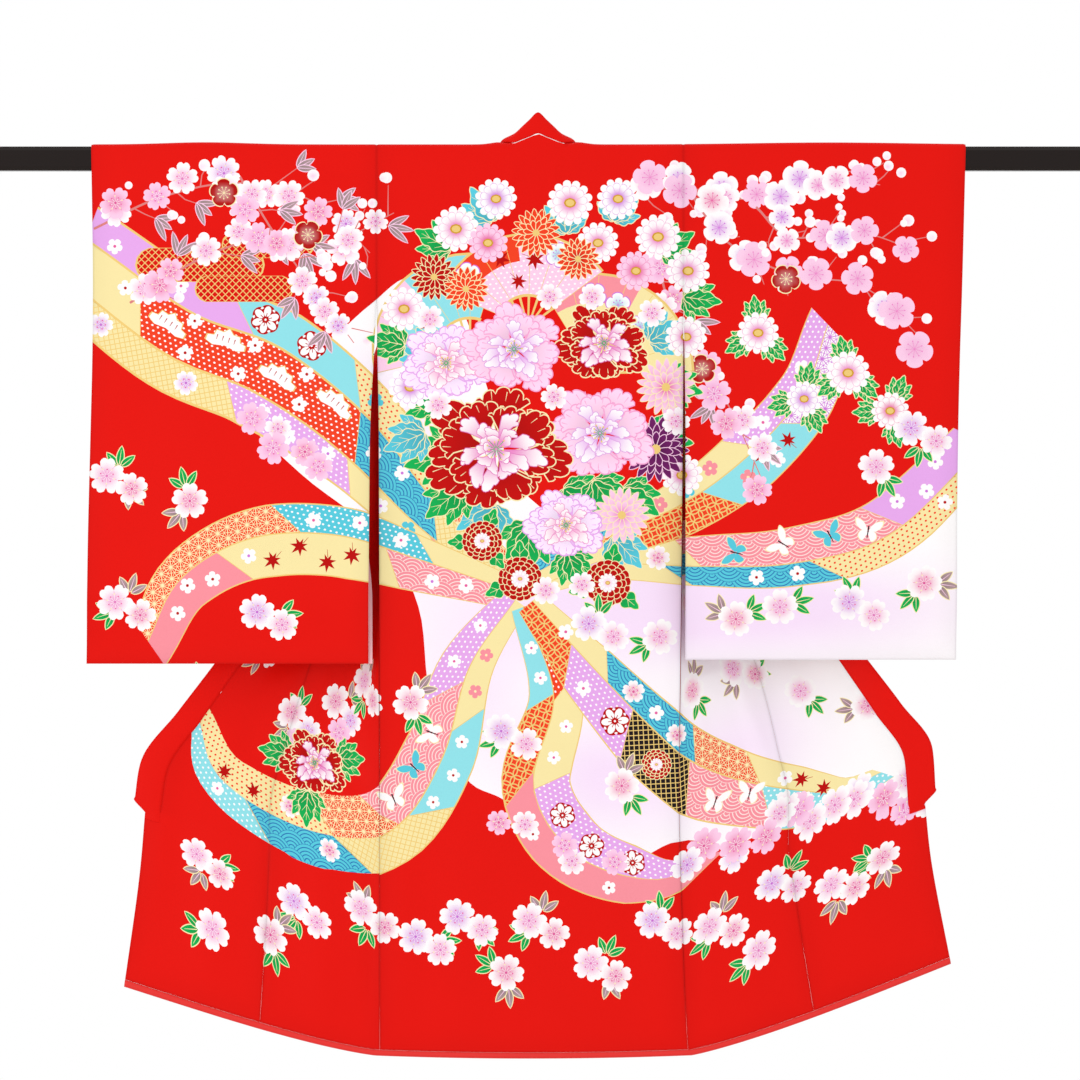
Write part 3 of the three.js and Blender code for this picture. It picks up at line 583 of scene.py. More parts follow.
def ribbon(spine, widths, lanes, tail, lean=0.03):
    """Folded paper ribbons laid side by side along a line, gold at their edges.
    lanes are (low, high, parts) across it, and parts are (share where it ends, dye, figure)."""
    line = curve(spine, 12)
    run = np.concatenate([[0], np.cumsum(np.hypot(*np.diff(line, axis=0).T))])
    share = run / run[-1]
    along = np.gradient(line, axis=0)
    ahead = along / np.hypot(*along.T)[:, None]
    side = np.stack([-ahead[:, 1], ahead[:, 0]], axis=1)
    half = np.interp(share, np.linspace(0, 1, len(widths)), widths) / 2
    reach = np.where(share > 0.5, tail[1], tail[0]) * smooth(0.35, 0.5, abs(share - 0.5))

    def on(where, off):
        where = np.atleast_1d(np.asarray(where, float))
        take = lambda values: np.interp(where, share, values)
        spot = np.stack([take(line[:, 0]), take(line[:, 1])], axis=1)
        out = np.stack([take(side[:, 0]), take(side[:, 1])], axis=1)
        front = np.stack([take(ahead[:, 0]), take(ahead[:, 1])], axis=1)
        return spot + (out * take(half)[:, None] + front * take(reach)[:, None]) * off

    every = np.linspace(0, 1, 46)
    made = []
    for low, high, parts in lanes:
        made.append(Patch(np.vstack([on(every, low - 0.04), on(every, high + 0.04)[::-1]]), GOLD, "gold"))
        start = 0.0
        for end, dye, figure in parts:
            a0, b0 = max(0, start - (lean if start else 0)), start + (lean if start else 0)
            a1, b1 = end - (lean if end < 1 else 0), min(1, end + (lean if end < 1 else 0))
            piece = np.vstack([on(np.linspace(a0, a1, 14), low), on(np.linspace(b0, b1, 14), high)[::-1]])
            middle = on((start + end) / 2 + 0.01, 0)[0] - on((start + end) / 2 - 0.01, 0)[0]
            made.append(Patch(piece, dye, figure, math.atan2(middle[1], middle[0])))
            if end < 1:
                made.append(Patch(stroke([on(a1, low)[0], on(b1, high)[0]], 1.3), GOLD, "gold"))
            start = end
    return made, on


def bough(points, width=2.4):
    return [Patch(stroke(curve(points, 6), width, width * 0.35), TWIG)]


rng = np.random.default_rng(11)


def blossoming(points, count, shy, make, tones, sizes):
    """Blossoms along a bough, unevenly spaced and to either side of it."""
    line = curve(points, 10)
    run = np.concatenate([[0], np.cumsum(np.hypot(*np.diff(line, axis=0).T))])
    made = []
    for k in range(count):
        share = (k + rng.uniform(0.15, 0.85)) / count
        spot = np.array([np.interp(share * run[-1], run, line[:, c]) for c in (0, 1)])
        spot += rng.uniform(-shy, shy, 2)
        size = rng.uniform(*sizes)
        made += make(*spot, size, rng.uniform(0, 6.28), *tones[int(rng.integers(len(tones)))])
    return made


# The print, from the bottom layer up. First the pale field, then the paper ribbons of a bundle of good
# wishes, then boughs, flowers and leaves.
LAID = []


def field_dye(spots):
    blush = np.zeros(len(spots))
    for x, a, across, down, most in (
        (-120, 330, 50, 90, 0.7), (60, 470, 150, 60, 0.9), (260, 470, 170, 45, 1.0), (80, 640, 90, 60, 1.0),
        (-60, 560, 60, 70, 0.6), (230, 640, 80, 60, 0.7), (-190, 250, 60, 40, 0.5),
    ):
        blush += most * np.exp(-(((spots[:, 0] - x) / across) ** 2) - ((spots[:, 1] - a) / down) ** 2)
    return WHITE + (MIST - WHITE) * np.clip(blush, 0, 1)[:, None]


FIELD = curve((
    (-300, 262), (-262, 232), (-205, 206), (-160, 168), (-118, 140), (-70, 170), (-40, 260), (-10, 350),
    (60, 396), (150, 416), (260, 424), (360, 396), (470, 330), (520, 420), (500, 560), (470, 700), (420, 752),
    (352, 738), (270, 722), (205, 730), (150, 706), (96, 726), (30, 700), (-26, 664), (-66, 640), (-100, 560),
    (-112, 470), (-150, 400), (-230, 336),
), 6, True)
LAID.append(Patch(FIELD, field_dye))


def snow(x, a, size, turn, tone, heart):
    """A small blossom in one tone, as it is dyed on a ribbon."""
    return [Patch(turned(rosette(5, size, 0.34, 0.45, 0.0, 6), (x, a), turn), tone),
            Patch(turned(disc(0.2 * size, 7), (x, a)), heart)]


def kiku(x, a, size, turn):
    """A red chrysanthemum between two leaves."""
    made = []
    for way in (turn + 0.4, turn + 2.6, turn + 4.6):
        base = np.array((x, a)) + 0.6 * size * heading(way)
        made += leaf(base, way, size * 1.15, size * 0.8, GREEN, CREAM, CREAM, 2, 0.35)
    return made + pompon(x, a, size, turn, DEEP_RED, CREAM, WHITE)


# Ribbons: spine, widths along it, lanes of figured cloth side by side, how far the tail is cut aslant, and what
# is painted on them. A lane is (low, high, its lengths), and a length is (share where it ends, dye, figure).
# Paint is (kind, size, tones, its places), and a place is (share along, share across).
SHELL_PINK, SKY, HONEY = colour("F4909C"), colour("8EDCE4"), colour("F3E2A4")
RED_SNOW, LILAC_SNOW, ROSE_SNOW = (WHITE, DEEP_RED), (WHITE, ORCHID), (WHITE, ROSE)
SHELL_SNOW, BLUE_SNOW = (SHELL_PINK, CREAM), (TURQUOISE, CREAM)
RIBBONS = (
    (((4, 446), (80, 424), (170, 424), (262, 420), (356, 392), (450, 304)), (26, 40, 52, 60, 62, 54),
     ((-1, 0.24, ((0.2, LILAC, "dots"), (0.32, HONEY, "plain"), (0.74, SHELL_PINK, "waves_pink"),
                  (1, LILAC, "plain"))),
      (0.24, 1, ((0.3, HONEY, "plain"), (0.6, TURQUOISE, "waves_blue"), (1, HONEY, "dots_red")))), (0, 10),
     ((butterfly, 12, (TURQUOISE,), ((0.42, -0.3), (0.62, -0.46))),
      (butterfly, 12, (WHITE,), ((0.52, -0.5), (0.7, -0.2))),
      (snow, 8, RED_SNOW, ((0.08, 0.1), (0.16, 0.0), (0.46, 0.62), (0.54, 0.6), (0.86, 0.6), (0.94, 0.55))),
      (snow, 8, LILAC_SNOW, ((0.79, -0.5), (0.85, -0.1), (0.91, -0.6))),
      (cherry, 13, (ROSE, WHITE), ((0.26, -0.1),)))),
    (((2, 440), (70, 404), (150, 372), (220, 322), (276, 258), (300, 190)), (22, 38, 54, 64, 60, 46),
     ((-1, -0.1, ((0.28, TURQUOISE, "waves_blue"), (0.62, HONEY, "plain"), (1, LILAC, "dots"))),
      (-0.1, 1, ((0.2, HONEY, "plain"), (0.5, ORANGE_RED, "rings"), (0.76, SKY, "plain"),
                 (1, WHITE, "hemp_pink")))),
     (0, -12),
     ((snow, 8, SHELL_SNOW, ((0.36, -0.5), (0.52, -0.6), (0.58, 0.4))),
      (snow, 8, BLUE_SNOW, ((0.44, -0.45), (0.12, 0.5))),
      (snow, 8, ROSE_SNOW, ((0.66, 0.62), (0.7, -0.55), (0.78, -0.5), (0.88, -0.55))),
      (maple, 10, (), ((0.64, 0.2), (0.71, 0.45))))),
    (((-10, 452), (-96, 384), (-176, 296), (-262, 232), (-350, 196), (-452, 122)), (36, 66, 104, 122, 116, 104),
     ((-1, -0.42, ((0.16, SHELL_PINK, "plain"), (0.36, HONEY, "plain"), (0.64, LILAC, "dots"),
                   (1, HONEY, "net"))),
      (-0.42, 0.42, ((0.2, HONEY, "net"), (0.4, TURQUOISE, "waves_blue"), (0.86, ORANGE_RED, "dots"),
                     (1, HONEY, "plain"))),
      (0.42, 1, ((0.24, ORANGE_RED, "hemp"), (0.46, HONEY, "dots_red"), (0.68, SKY, "plain"),
                 (1, LILAC, "plain")))), (0, 14),
     ((pine, 20, (), ((0.47, 0.1), (0.58, -0.1), (0.69, 0.1), (0.8, -0.05))),
      (snow, 8, RED_SNOW, ((0.52, -0.22), (0.54, 0.28), (0.64, 0.26), (0.65, -0.28), (0.75, -0.26), (0.76, 0.3),
                           (0.9, 0.1))),
      (snow, 8, LILAC_SNOW, ((0.28, -0.72), (0.42, -0.62), (0.5, -0.8), (0.57, -0.66), (0.3, 0.2))),
      (snow, 8, BLUE_SNOW, ((0.3, 0.7), (0.42, 0.72), (0.22, -0.7))),
      (snow, 8, ROSE_SNOW, ((0.36, 0.0), (0.82, 0.7), (0.95, 0.6))),
      (medallion, 15, (), ((0.56, 0.72), (0.64, 0.72))),
      (cherry, 13, (ORCHID, WHITE), ((0.73, -0.72), (0.9, -0.7))))),
    (((-14, 458), (-110, 428), (-196, 404), (-280, 408), (-346, 446), (-380, 508)), (30, 50, 68, 70, 60, 44),
     ((-1, 0.2, ((0.3, SHELL_PINK, "waves_pink"), (0.7, HONEY, "plain"), (1, SHELL_PINK, "plain"))),
      (0.2, 1, ((0.24, HONEY, "plain"), (0.56, TURQUOISE, "dots"), (1, ORANGE_RED, "hemp")))), (0, -12),
     ((maple, 11, (), ((0.4, -0.3), (0.46, -0.62), (0.53, -0.2), (0.6, -0.55))),
      (snow, 8, ROSE_SNOW, ((0.3, 0.6), (0.4, 0.66), (0.5, 0.55), (0.12, -0.3))),
      (snow, 8, LILAC_SNOW, ((0.2, -0.5), (0.66, -0.3))),
      (snow, 8, RED_SNOW, ((0.77, -0.5), (0.83, -0.15), (0.9, -0.45))))),
    (((-16, 462), (-64, 530), (-92, 620), (-140, 690), (-226, 716), (-318, 700), (-372, 648)),
     (30, 54, 72, 76, 72, 56, 22),
     ((-1, -0.1, ((0.26, HONEY, "plain"), (0.44, SKY, "plain"), (0.6, HONEY, "net"),
                  (0.78, TURQUOISE, "waves_blue"), (1, SKY, "dots"))),
      (-0.1, 1, ((0.22, LILAC, "dots"), (0.52, SHELL_PINK, "waves_pink"), (0.66, ORANGE_RED, "hemp"),
                 (1, HONEY, "dots_red")))),
     (0, 10),
     ((butterfly, 12, (WHITE,), ((0.3, 0.42), (0.46, 0.45))), (butterfly, 12, (TURQUOISE,), ((0.38, 0.45),)),
      (snow, 7, SHELL_SNOW, ((0.12, -0.5), (0.2, -0.6))),
      (snow, 7, RED_SNOW, ((0.3, -0.5), (0.36, -0.6), (0.42, -0.45))),
      (snow, 7, ROSE_SNOW, ((0.08, 0.5), (0.16, 0.5), (0.86, -0.5))),
      (cherry, 12, (ROSE, WHITE), ((0.72, 0.4), (0.64, -0.5))),
      (maple, 10, (), ((0.8, 0.3), (0.87, 0.2))))),
    (((-6, 470), (26, 560), (6, 650), (46, 716), (120, 742), (180, 728)), (26, 50, 66, 70, 58, 14),
     ((-1, 0.1, ((0.22, ORANGE_RED, "dots"), (0.44, HONEY, "plain"), (1, LILAC, "dots"))),
      (0.1, 1, ((0.26, SKY, "plain"), (0.46, ORANGE_RED, "rings"), (1, SHELL_PINK, "plain")))), (0, 12),
     ((medallion, 13, (), ((0.56, -0.42), (0.68, -0.42), (0.8, -0.42))),
      (snow, 7, ROSE_SNOW, ((0.1, 0.5), (0.18, 0.5), (0.3, -0.5), (0.38, -0.4))),
      (snow, 7, RED_SNOW, ((0.56, 0.6), (0.66, 0.5), (0.76, 0.6))))),
    (((0, 466), (70, 548), (140, 620), (214, 676), (300, 718), (356, 714)), (28, 58, 76, 74, 58, 16),
     ((-1, -0.2, ((0.22, HONEY, "plain"), (0.5, TURQUOISE, "waves_blue"), (0.68, ORANGE_RED, "hemp"),
                  (1, HONEY, "plain"))),
      (-0.2, 1, ((0.16, ORANGE_RED, "rings"), (0.36, LILAC, "dots"), (0.54, BLACK, "net"),
                 (0.74, SHELL_PINK, "waves_pink"), (1, SKY, "dots")))), (0, 10),
     ((medallion, 15, (), ((0.32, 0.4),)), (pompon, 15, (DEEP_RED, CREAM, WHITE), ((0.45, 0.4),)),
      (cherry, 12, (ROSE, WHITE), ((0.3, -0.6), (0.44, -0.55), (0.82, 0.2))),
      (butterfly, 12, (WHITE,), ((0.62, 0.5), (0.69, 0.1))),
      (snow, 8, ROSE_SNOW, ((0.1, -0.4), (0.22, 0.5), (0.37, -0.6), (0.76, -0.55))),
      (maple, 10, (), ((0.86, -0.4), (0.8, -0.6))))),
)
for spine, widths, lanes, tail, painted in RIBBONS:
    made, on = ribbon(spine, widths, lanes, tail)
    LAID += made
    for make, size, tones, spots in painted:
        for where, off in spots:
            turn = 5.0 * where + off
            if make is pine:
                step = on(where + 0.02, 0)[0] - on(where - 0.02, 0)[0]
                turn = math.atan2(step[1], step[0])
                turn += math.pi if abs(turn) > 1.6 else 0
            LAID += make(*on(where, off)[0], size, turn, *tones)

# Boughs over the sleeves, with their blossoms, buds and leaves.
BLUSH = colour("E884C4")
CHERRY_TONES = ((BLUSH, WHITE), (BLUSH, WHITE), (ORCHID, WHITE), (ROSE, PALE_PINK), (BLUSH, PALE_PINK))
PLUM_TONES = ((ROSE, WHITE), (BLUSH, PALE_PINK), (BLUSH, WHITE), (ORCHID, WHITE))
BOUGHS = (
    (((-436, 92), (-368, 60), (-290, 46), (-214, 66), (-160, 116)), 11, cherry, CHERRY_TONES, (14, 19)),
    (((-400, 166), (-330, 122), (-262, 100), (-196, 104), (-136, 76)), 10, cherry, CHERRY_TONES, (13, 19)),
    (((-290, 40), (-256, 96), (-218, 150), (-176, 206)), 8, cherry, CHERRY_TONES, (14, 18)),
    (((96, 60), (150, 50), (214, 62), (290, 40), (350, 48)), 11, plum, PLUM_TONES, (14, 18)),
    (((150, 40), (196, 104), (262, 138), (334, 150), (396, 206)), 11, plum, PLUM_TONES, (14, 19)),
    (((126, 120), (150, 200), (196, 264), (236, 352)), 10, cherry, CHERRY_TONES, (14, 19)),
    (((226, 70), (260, 100), (330, 96), (382, 112)), 6, plum, PLUM_TONES, (13, 17)),
)
for x, a, long, high in ((-330, 128, 92, 34), (-286, 152, 70, 26), (-262, 108, 64, 26)):
    bar = np.vstack([turned(disc(high / 2, 14)[4:11], (x - long / 2, a)),
                     turned(np.roll(disc(high / 2, 14), 7, 0)[4:11], (x + long / 2, a))])
    LAID += [Patch(turned(bar - (x, a), (x, a), 0.0, 1.03), GOLD), Patch(bar, RED * 0.9, "net")]
for line, count, make, tones, sizes in BOUGHS:
    LAID += bough(line)
    path = curve(line, 10)
    for k in range(3, len(path) - 1, 3):
        way = math.atan2(*(path[k + 1] - path[k])[::-1]) + rng.choice((-1, 1)) * rng.uniform(0.45, 1.15)
        tip = path[k] + rng.uniform(18, 34) * heading(way)
        LAID += [Patch(stroke([path[k], (path[k] + tip) / 2 + rng.uniform(-2, 2, 2), tip], 1.4, 0.7), TWIG)]
        if make is plum or k % 2:
            for _ in range(int(rng.integers(1, 4))):
                LAID += bud(*(tip + rng.uniform(-8, 8, 2)), rng.uniform(3.6, 6.0))
        else:
            for bend in (-0.5, 0.15, 0.7):
                LAID += leaf(tip, way + bend, rng.uniform(18, 26), 6.0, GREY_LEAF, PALE_PINK, PALE_PINK)
    LAID += blossoming(line, count, 12, make, tones, sizes)
for x, a, turn in ((-222, 98, 0.2), (-306, 56, 0.9), (256, 142, 0.4), (172, 232, 0.8)):
    LAID += plum(x, a, 14, turn, DEEP_RED, DEEP_RED * 0.9, CREAM)

for x, a, size, turn, tone in ((228, 196, 21, 0.2, BLUSH), (274, 262, 18, 0.5, ORCHID),
                               (318, 236, 22, 0.1, BLUSH), (360, 274, 19, 0.7, ROSE)):
    for way in (0.6, 2.4, 4.4):
        LAID += broad_leaf(x + 14 * math.cos(turn + way), a + 14 * math.sin(turn + way), turn + way, 24, GREEN)
    LAID += daisy(x, a, size, turn, tone, WHITE)

# The bouquet that hides the knot of the bundle: fans and leaves at the back, then flowers.
LAID += fan(-60, 214, 96, -0.75, SKY, "plain", PALE_PINK)
LAID += fan(64, 236, 98, 0.5, HONEY, "plain", SHELL_PINK)
LAID += fan(-2, 190, 92, -0.12, PALE_PINK, "dots", ORANGE_RED)
for x, a, size, turn in ((-94, 138, 11, 0.3), (-122, 166, 12, 1.2), (-104, 188, 10, 0.8), (4, 122, 12, 0.5),
                         (-30, 122, 11, 0.2), (-12, 144, 10, 0.9), (128, 176, 10, 0.1)):
    LAID += maple(x, a, size, turn, DEEP_RED)
for x, a, turn in ((110, 190, 0.2), (88, 168, 0.9), (64, 158, 0.4), (-62, 138, 0.7), (28, 118, 0.1)):
    LAID += plum(x, a, 12, turn, TURQUOISE, WHITE, ORCHID)
for x, a, way, size, tone in (
    (34, 352, 0.64, 50, GREEN), (-74, 316, 2.89, 54, GREEN), (-36, 368, 2.04, 54, TURQUOISE),
    (64, 344, 0.94, 46, GREEN), (0, 386, 1.64, 52, GREEN), (118, 300, 0.14, 46, GREEN),
    (94, 352, 0.64, 44, GREEN), (-86, 262, 3.24, 50, GREEN), (-94, 222, 3.64, 44, TURQUOISE),
    (-68, 350, 2.44, 48, GREEN), (132, 246, 0.24, 42, GREEN), (-106, 296, 2.74, 44, TURQUOISE),
    (120, 204, -0.54, 40, TURQUOISE), (38, 416, 1.24, 40, GREEN), (84, 400, 0.84, 42, TURQUOISE),
    (36, 96, -1.74, 40, TURQUOISE), (84, 84, -1.24, 38, TURQUOISE), (130, 116, -0.54, 40, GREEN),
    (-38, 84, -2.14, 40, TURQUOISE), (-80, 112, 3.64, 40, GREEN), (154, 160, 0.14, 38, GREEN),
    (-126, 208, 3.34, 38, GREEN),
):
    LAID += broad_leaf(x, a, way, size, tone)
for x, a, size, turn, tones in (
    (128, 100, 23, 0.1, (BLUSH, WHITE)), (88, 62, 21, 0.4, (ORCHID, WHITE)), (40, 66, 23, 0.2, (BLUSH, WHITE)),
    (158, 134, 22, 0.7, (BLUSH, WHITE)), (-34, 62, 21, 0.9, (ORCHID, WHITE)),
    (-74, 92, 23, 0.2, (BLUSH, WHITE)), (106, 134, 20, 0.5, (ROSE, PALE_PINK)),
    (-126, 172, 22, 0.3, (BLUSH, WHITE)), (156, 200, 21, 0.6, (BLUSH, WHITE)),
    (-120, 250, 22, 0.5, (ORCHID, WHITE)), (68, 106, 21, 0.1, (BLUSH, WHITE)),
    (152, 338, 21, 0.2, (BLUSH, WHITE)), (-42, 106, 20, 0.3, (ROSE, PALE_PINK)),
):
    LAID += daisy(x, a, size, turn, *tones)
for x, a, size, turn, tone, tip, edge in (
    (6, 96, 24, 0.1, ORANGE_RED, ORANGE_RED, CREAM), (48, 122, 21, 0.5, DEEP_RED, ORANGE_RED, CREAM),
    (-96, 140, 23, 0.3, DEEP_RED, DEEP_RED, CREAM), (136, 250, 29, 0.2, ROSE, PALE_PINK, CREAM),
    (126, 312, 33, 0.4, PLUM * 0.7, PLUM * 1.5, PALE_PINK), (92, 378, 28, 0.1, BLUSH, PALE_PINK, CREAM),
    (-64, 152, 22, 0.6, ORANGE_RED, ORANGE_RED, CREAM),
):
    LAID += starburst(x, a, size, turn, tone, tip, edge)
LAID += peony(-84, 226, 44, 0.2, MIST, LILAC, WHITE, PINK)
LAID += peony(74, 206, 46, 0.5, DEEP_RED, CREAM, WHITE, BLUSH)
LAID += peony(-16, 212, 50, 0.9, PALE_PINK, PINK, WHITE, LILAC)
LAID += peony(70, 296, 54, 0.4, PALE_PINK, PINK, WHITE, LILAC)
LAID += peony(-34, 312, 72, 0.15, DEEP_RED, CREAM, WHITE, BLUSH)
LAID += peony(36, 388, 40, 0.6, MIST, LILAC, WHITE, PINK)
for x, a, size, turn in ((78, 446, 23, 0.3), (-10, 442, 22, 0.1), (-48, 404, 20, 0.5)):
    LAID += kiku(x, a, size, turn)
for x, a, size, turn in ((122, 176, 15, 0.2), (24, 260, 14, 0.7), (146, 284, 15, 0.1), (-92, 268, 15, 0.5),
                         (-100, 182, 15, 0.3), (52, 448, 14, 0.2), (16, 454, 15, 0.9), (62, 160, 14, 0.4),
                         (20, 160, 14, 0.8)):
    LAID += cherry(x, a, size, turn, BLUSH, WHITE)


# Blossoms that line the pale field, fall over it and lie over the hem.
def scattered(x, a, kind):
    """A fall of cherry blossoms: one to three that touch, with leaves behind them."""
    turn = 0.37 * x + 0.11 * a
    made = []
    for k, way in enumerate((0.0, 2.2, 4.0)[: 1 + kind % 2 + (kind > 3)]):
        made += spray(x + 13 * math.cos(turn + way), a + 13 * math.sin(turn + way), turn + way, 19,
                      GREY_LEAF if (kind + k) % 3 == 1 else GREEN)
    blooms = [(0, 0, 19)] if kind in (0, 1) else [(-11, -5, 19), (14, 8, 17)]
    if kind > 3:
        blooms.append((2, 24, 16))
    for k, (dx, da, size) in enumerate(blooms):
        made += cherry(x + dx, a + da, size, turn + k, (BLUSH, ROSE, ORCHID)[(kind + k) % 3],
                       (WHITE, WHITE, PALE_PINK)[k])
    return made


LAID += blossoming(((430, 742), (352, 740), (270, 724), (205, 732), (160, 716)), 17, 15, cherry, CHERRY_TONES,
                   (14, 19))
LAID += blossoming(((-290, 268), (-250, 300), (-200, 344)), 5, 10, cherry, CHERRY_TONES, (14, 18))
LAID += blossoming(((96, 728), (20, 706), (-40, 668)), 5, 10, cherry, CHERRY_TONES, (13, 17))
for x, a, kind in (
    (-412, 344, 3), (-340, 364, 1), (-404, 470, 3), (-262, 480, 2), (-330, 560, 1), (70, 492, 2), (206, 482, 1),
    (250, 470, 0), (330, 470, 2), (392, 296, 2), (346, 330, 0), (394, 446, 1), (-18, 600, 2), (92, 650, 1),
    (300, 600, 0), (242, 560, 3), (362, 640, 1), (-212, 590, 4), (-262, 616, 4), (-178, 560, 3), (-120, 566, 1),
    (-160, 784, 3), (-104, 806, 2), (-62, 786, 2), (10, 790, 3), (72, 832, 3), (134, 790, 2), (192, 806, 3),
    (256, 786, 2), (318, 812, 3), (-232, 800, 2), (-268, 836, 1), (-336, 786, 3), (-24, 836, 1), (232, 842, 0),
    (-380, 610, 1), (360, 800, 1), (170, 560, 1), (130, 500, 0), (-330, 850, 0),
):
    LAID += scattered(x, a, kind)
# The far side of the sleeves: the pale field comes round the bottom, and blossoms fall over the red.
SLEEVE_FIELD = curve(((140, -420), (240, -446), (340, -436), (450, -400), (450, -540), (140, -540)), 6, True)
LAID.append(Patch(SLEEVE_FIELD, field_dye))
LAID += blossoming(((160, -424), (240, -444), (340, -436), (430, -404)), 12, 12, cherry, CHERRY_TONES, (14, 18))
for x, a, kind in (
    (-216, -120, 3), (-300, -70, 2), (-372, -150, 4), (-256, -230, 1), (-340, -280, 3), (-206, -340, 2),
    (-404, -390, 0), (-290, -420, 4), (-220, -476, 1), (-372, -480, 2), (216, -90, 4), (300, -160, 2),
    (380, -80, 3), (238, -250, 1), (340, -300, 3), (396, -210, 0), (250, -350, 2), (300, -486, 1),
    (384, -470, 2), (206, -496, 0),
):
    LAID += scattered(x, a, kind)
for x, a, way in ((-262, 652, 3.0), (-206, 640, -0.3), (-232, 682, 1.5)):
    LAID += broad_leaf(x, a, way, 36, GREEN)
LAID += peony(-232, 652, 38, 0.3, DEEP_RED, CREAM, WHITE, BLUSH)

FIGURES = ["plain", "gold", "waves_pink", "waves_blue", "hemp", "hemp_pink", "rings", "dots", "dots_red", "net"]


def maths(tree):
    def do(operation, *values):
        node = tree.nodes.new("ShaderNodeMath")
        node.operation = operation
        for socket, value in zip(node.inputs, values):
            if isinstance(value, (int, float)):
                socket.default_value = value
            else:
                tree.links.new(value, socket)
        return node.outputs[0]
    return do


def far(do, x, y):
    return do("SQRT", do("ADD", do("MULTIPLY", x, x), do("MULTIPLY", y, y)))


def waves(do, u, v, radius=17.0, rings=5.0):
    """Overlapping scales of concentric arcs."""
    u, v = do("DIVIDE", u, radius), do("DIVIDE", v, radius / 2)
    row = do("FLOOR", v)
    across = do("PINGPONG", do("ADD", u, do("PINGPONG", row, 1)), 1)
    up = do("MULTIPLY", do("SUBTRACT", v, row), 0.5)
    behind = far(do, across, up)
    ahead = far(do, do("SUBTRACT", 1, across), do("ADD", up, 0.5))
    front = do("LESS_THAN", ahead, 1)
    away = do("ADD", behind, do("MULTIPLY", front, do("SUBTRACT", ahead, behind)))
    return do("LESS_THAN", do("PINGPONG", do("MULTIPLY", away, rings), 0.5), 0.14)


def hemp(do, u, v, pitch=10.0):
    """Hemp leaves: three sets of crossing lines, and finer ones between them."""
    mask = 0
    for k in range(6):
        turn, apart, half = k * math.pi / 6, pitch * (1 if k % 2 else 0.866) / (1 if k % 2 else 1.5), 0.55
        line = do("ADD", do("MULTIPLY", u, math.cos(turn)), do("MULTIPLY", v, math.sin(turn)))
        near = do("LESS_THAN", do("PINGPONG", line, apart / 2), half * (0.8 if k % 2 else 0.5))
        mask = do("MAXIMUM", mask, near)
    return mask


def rings(do, u, v, pitch=9.0):
    """Seven treasures: circles that overlap by quarters."""
    dx, dy = do("PINGPONG", u, pitch / 2), do("PINGPONG", v, pitch / 2)
    mask = 0
    for x, y in ((dx, dy), (do("SUBTRACT", pitch, dx), dy), (dx, do("SUBTRACT", pitch, dy))):
        near = do("ABSOLUTE", do("SUBTRACT", far(do, x, y), pitch * 0.7071))
        mask = do("MAXIMUM", mask, do("LESS_THAN", near, 0.6))
    return mask


def dots(do, u, v, pitch=6.0):
    """Small round dots in staggered rows."""
    u, v = do("DIVIDE", u, pitch), do("DIVIDE", v, pitch * 0.8)
    row = do("FLOOR", v)
    dx = do("PINGPONG", do("ADD", u, do("MULTIPLY", do("PINGPONG", row, 1), 0.5)), 0.5)
    return do("LESS_THAN", far(do, dx, do("SUBTRACT", do("SUBTRACT", v, row), 0.5)), 0.2)


def net(do, u, v, pitch=7.0):
    """A diamond net."""
    one = do("LESS_THAN", do("PINGPONG", do("ADD", u, v), pitch / 2), 0.6)
    return do("MAXIMUM", one, do("LESS_THAN", do("PINGPONG", do("SUBTRACT", u, v), pitch / 2), 0.6))


FIGURE_LINES = {
    "waves_pink": (waves, colour("FBE0DC")), "waves_blue": (waves, BLUE), "hemp": (hemp, CREAM),
    "hemp_pink": (hemp, ORCHID), "rings": (rings, GOLD), "dots": (dots, WHITE), "dots_red": (dots, ORANGE_RED),
    "net": (net, GOLD),
}


def crepe(tree, shader, strength=0.22):
    """The fine grain of the crepe, and slow changes of tone where the cloth took the dye unevenly."""
    flat = add_node(tree, "ShaderNodeUVMap", uv_map="cloth")
    threads = add_node(tree, "ShaderNodeMapping")
    threads.inputs["Scale"].default_value = (1500, 700, 1)
    tree.links.new(flat.outputs["UV"], threads.inputs["Vector"])
    grain = add_node(tree, "ShaderNodeTexNoise", Scale=1.0, Detail=2.0, Roughness=0.6)
    tree.links.new(threads.outputs["Vector"], grain.inputs["Vector"])
    relief = add_node(tree, "ShaderNodeBump", Strength=strength, Distance=0.0004)
    tree.links.new(grain.outputs["Fac"], relief.inputs["Height"])
    tree.links.new(relief.outputs["Normal"], shader.inputs["Normal"])
    slow = add_node(tree, "ShaderNodeTexNoise", Scale=14.0, Detail=3.0)
    tree.links.new(flat.outputs["UV"], slow.inputs["Vector"])
    do = maths(tree)
    fine = do("MULTIPLY", do("SUBTRACT", grain.outputs["Fac"], 0.5), 0.09)
    return do("ADD", do("ADD", do("MULTIPLY", slow.outputs["Fac"], 0.05), 0.95), fine)


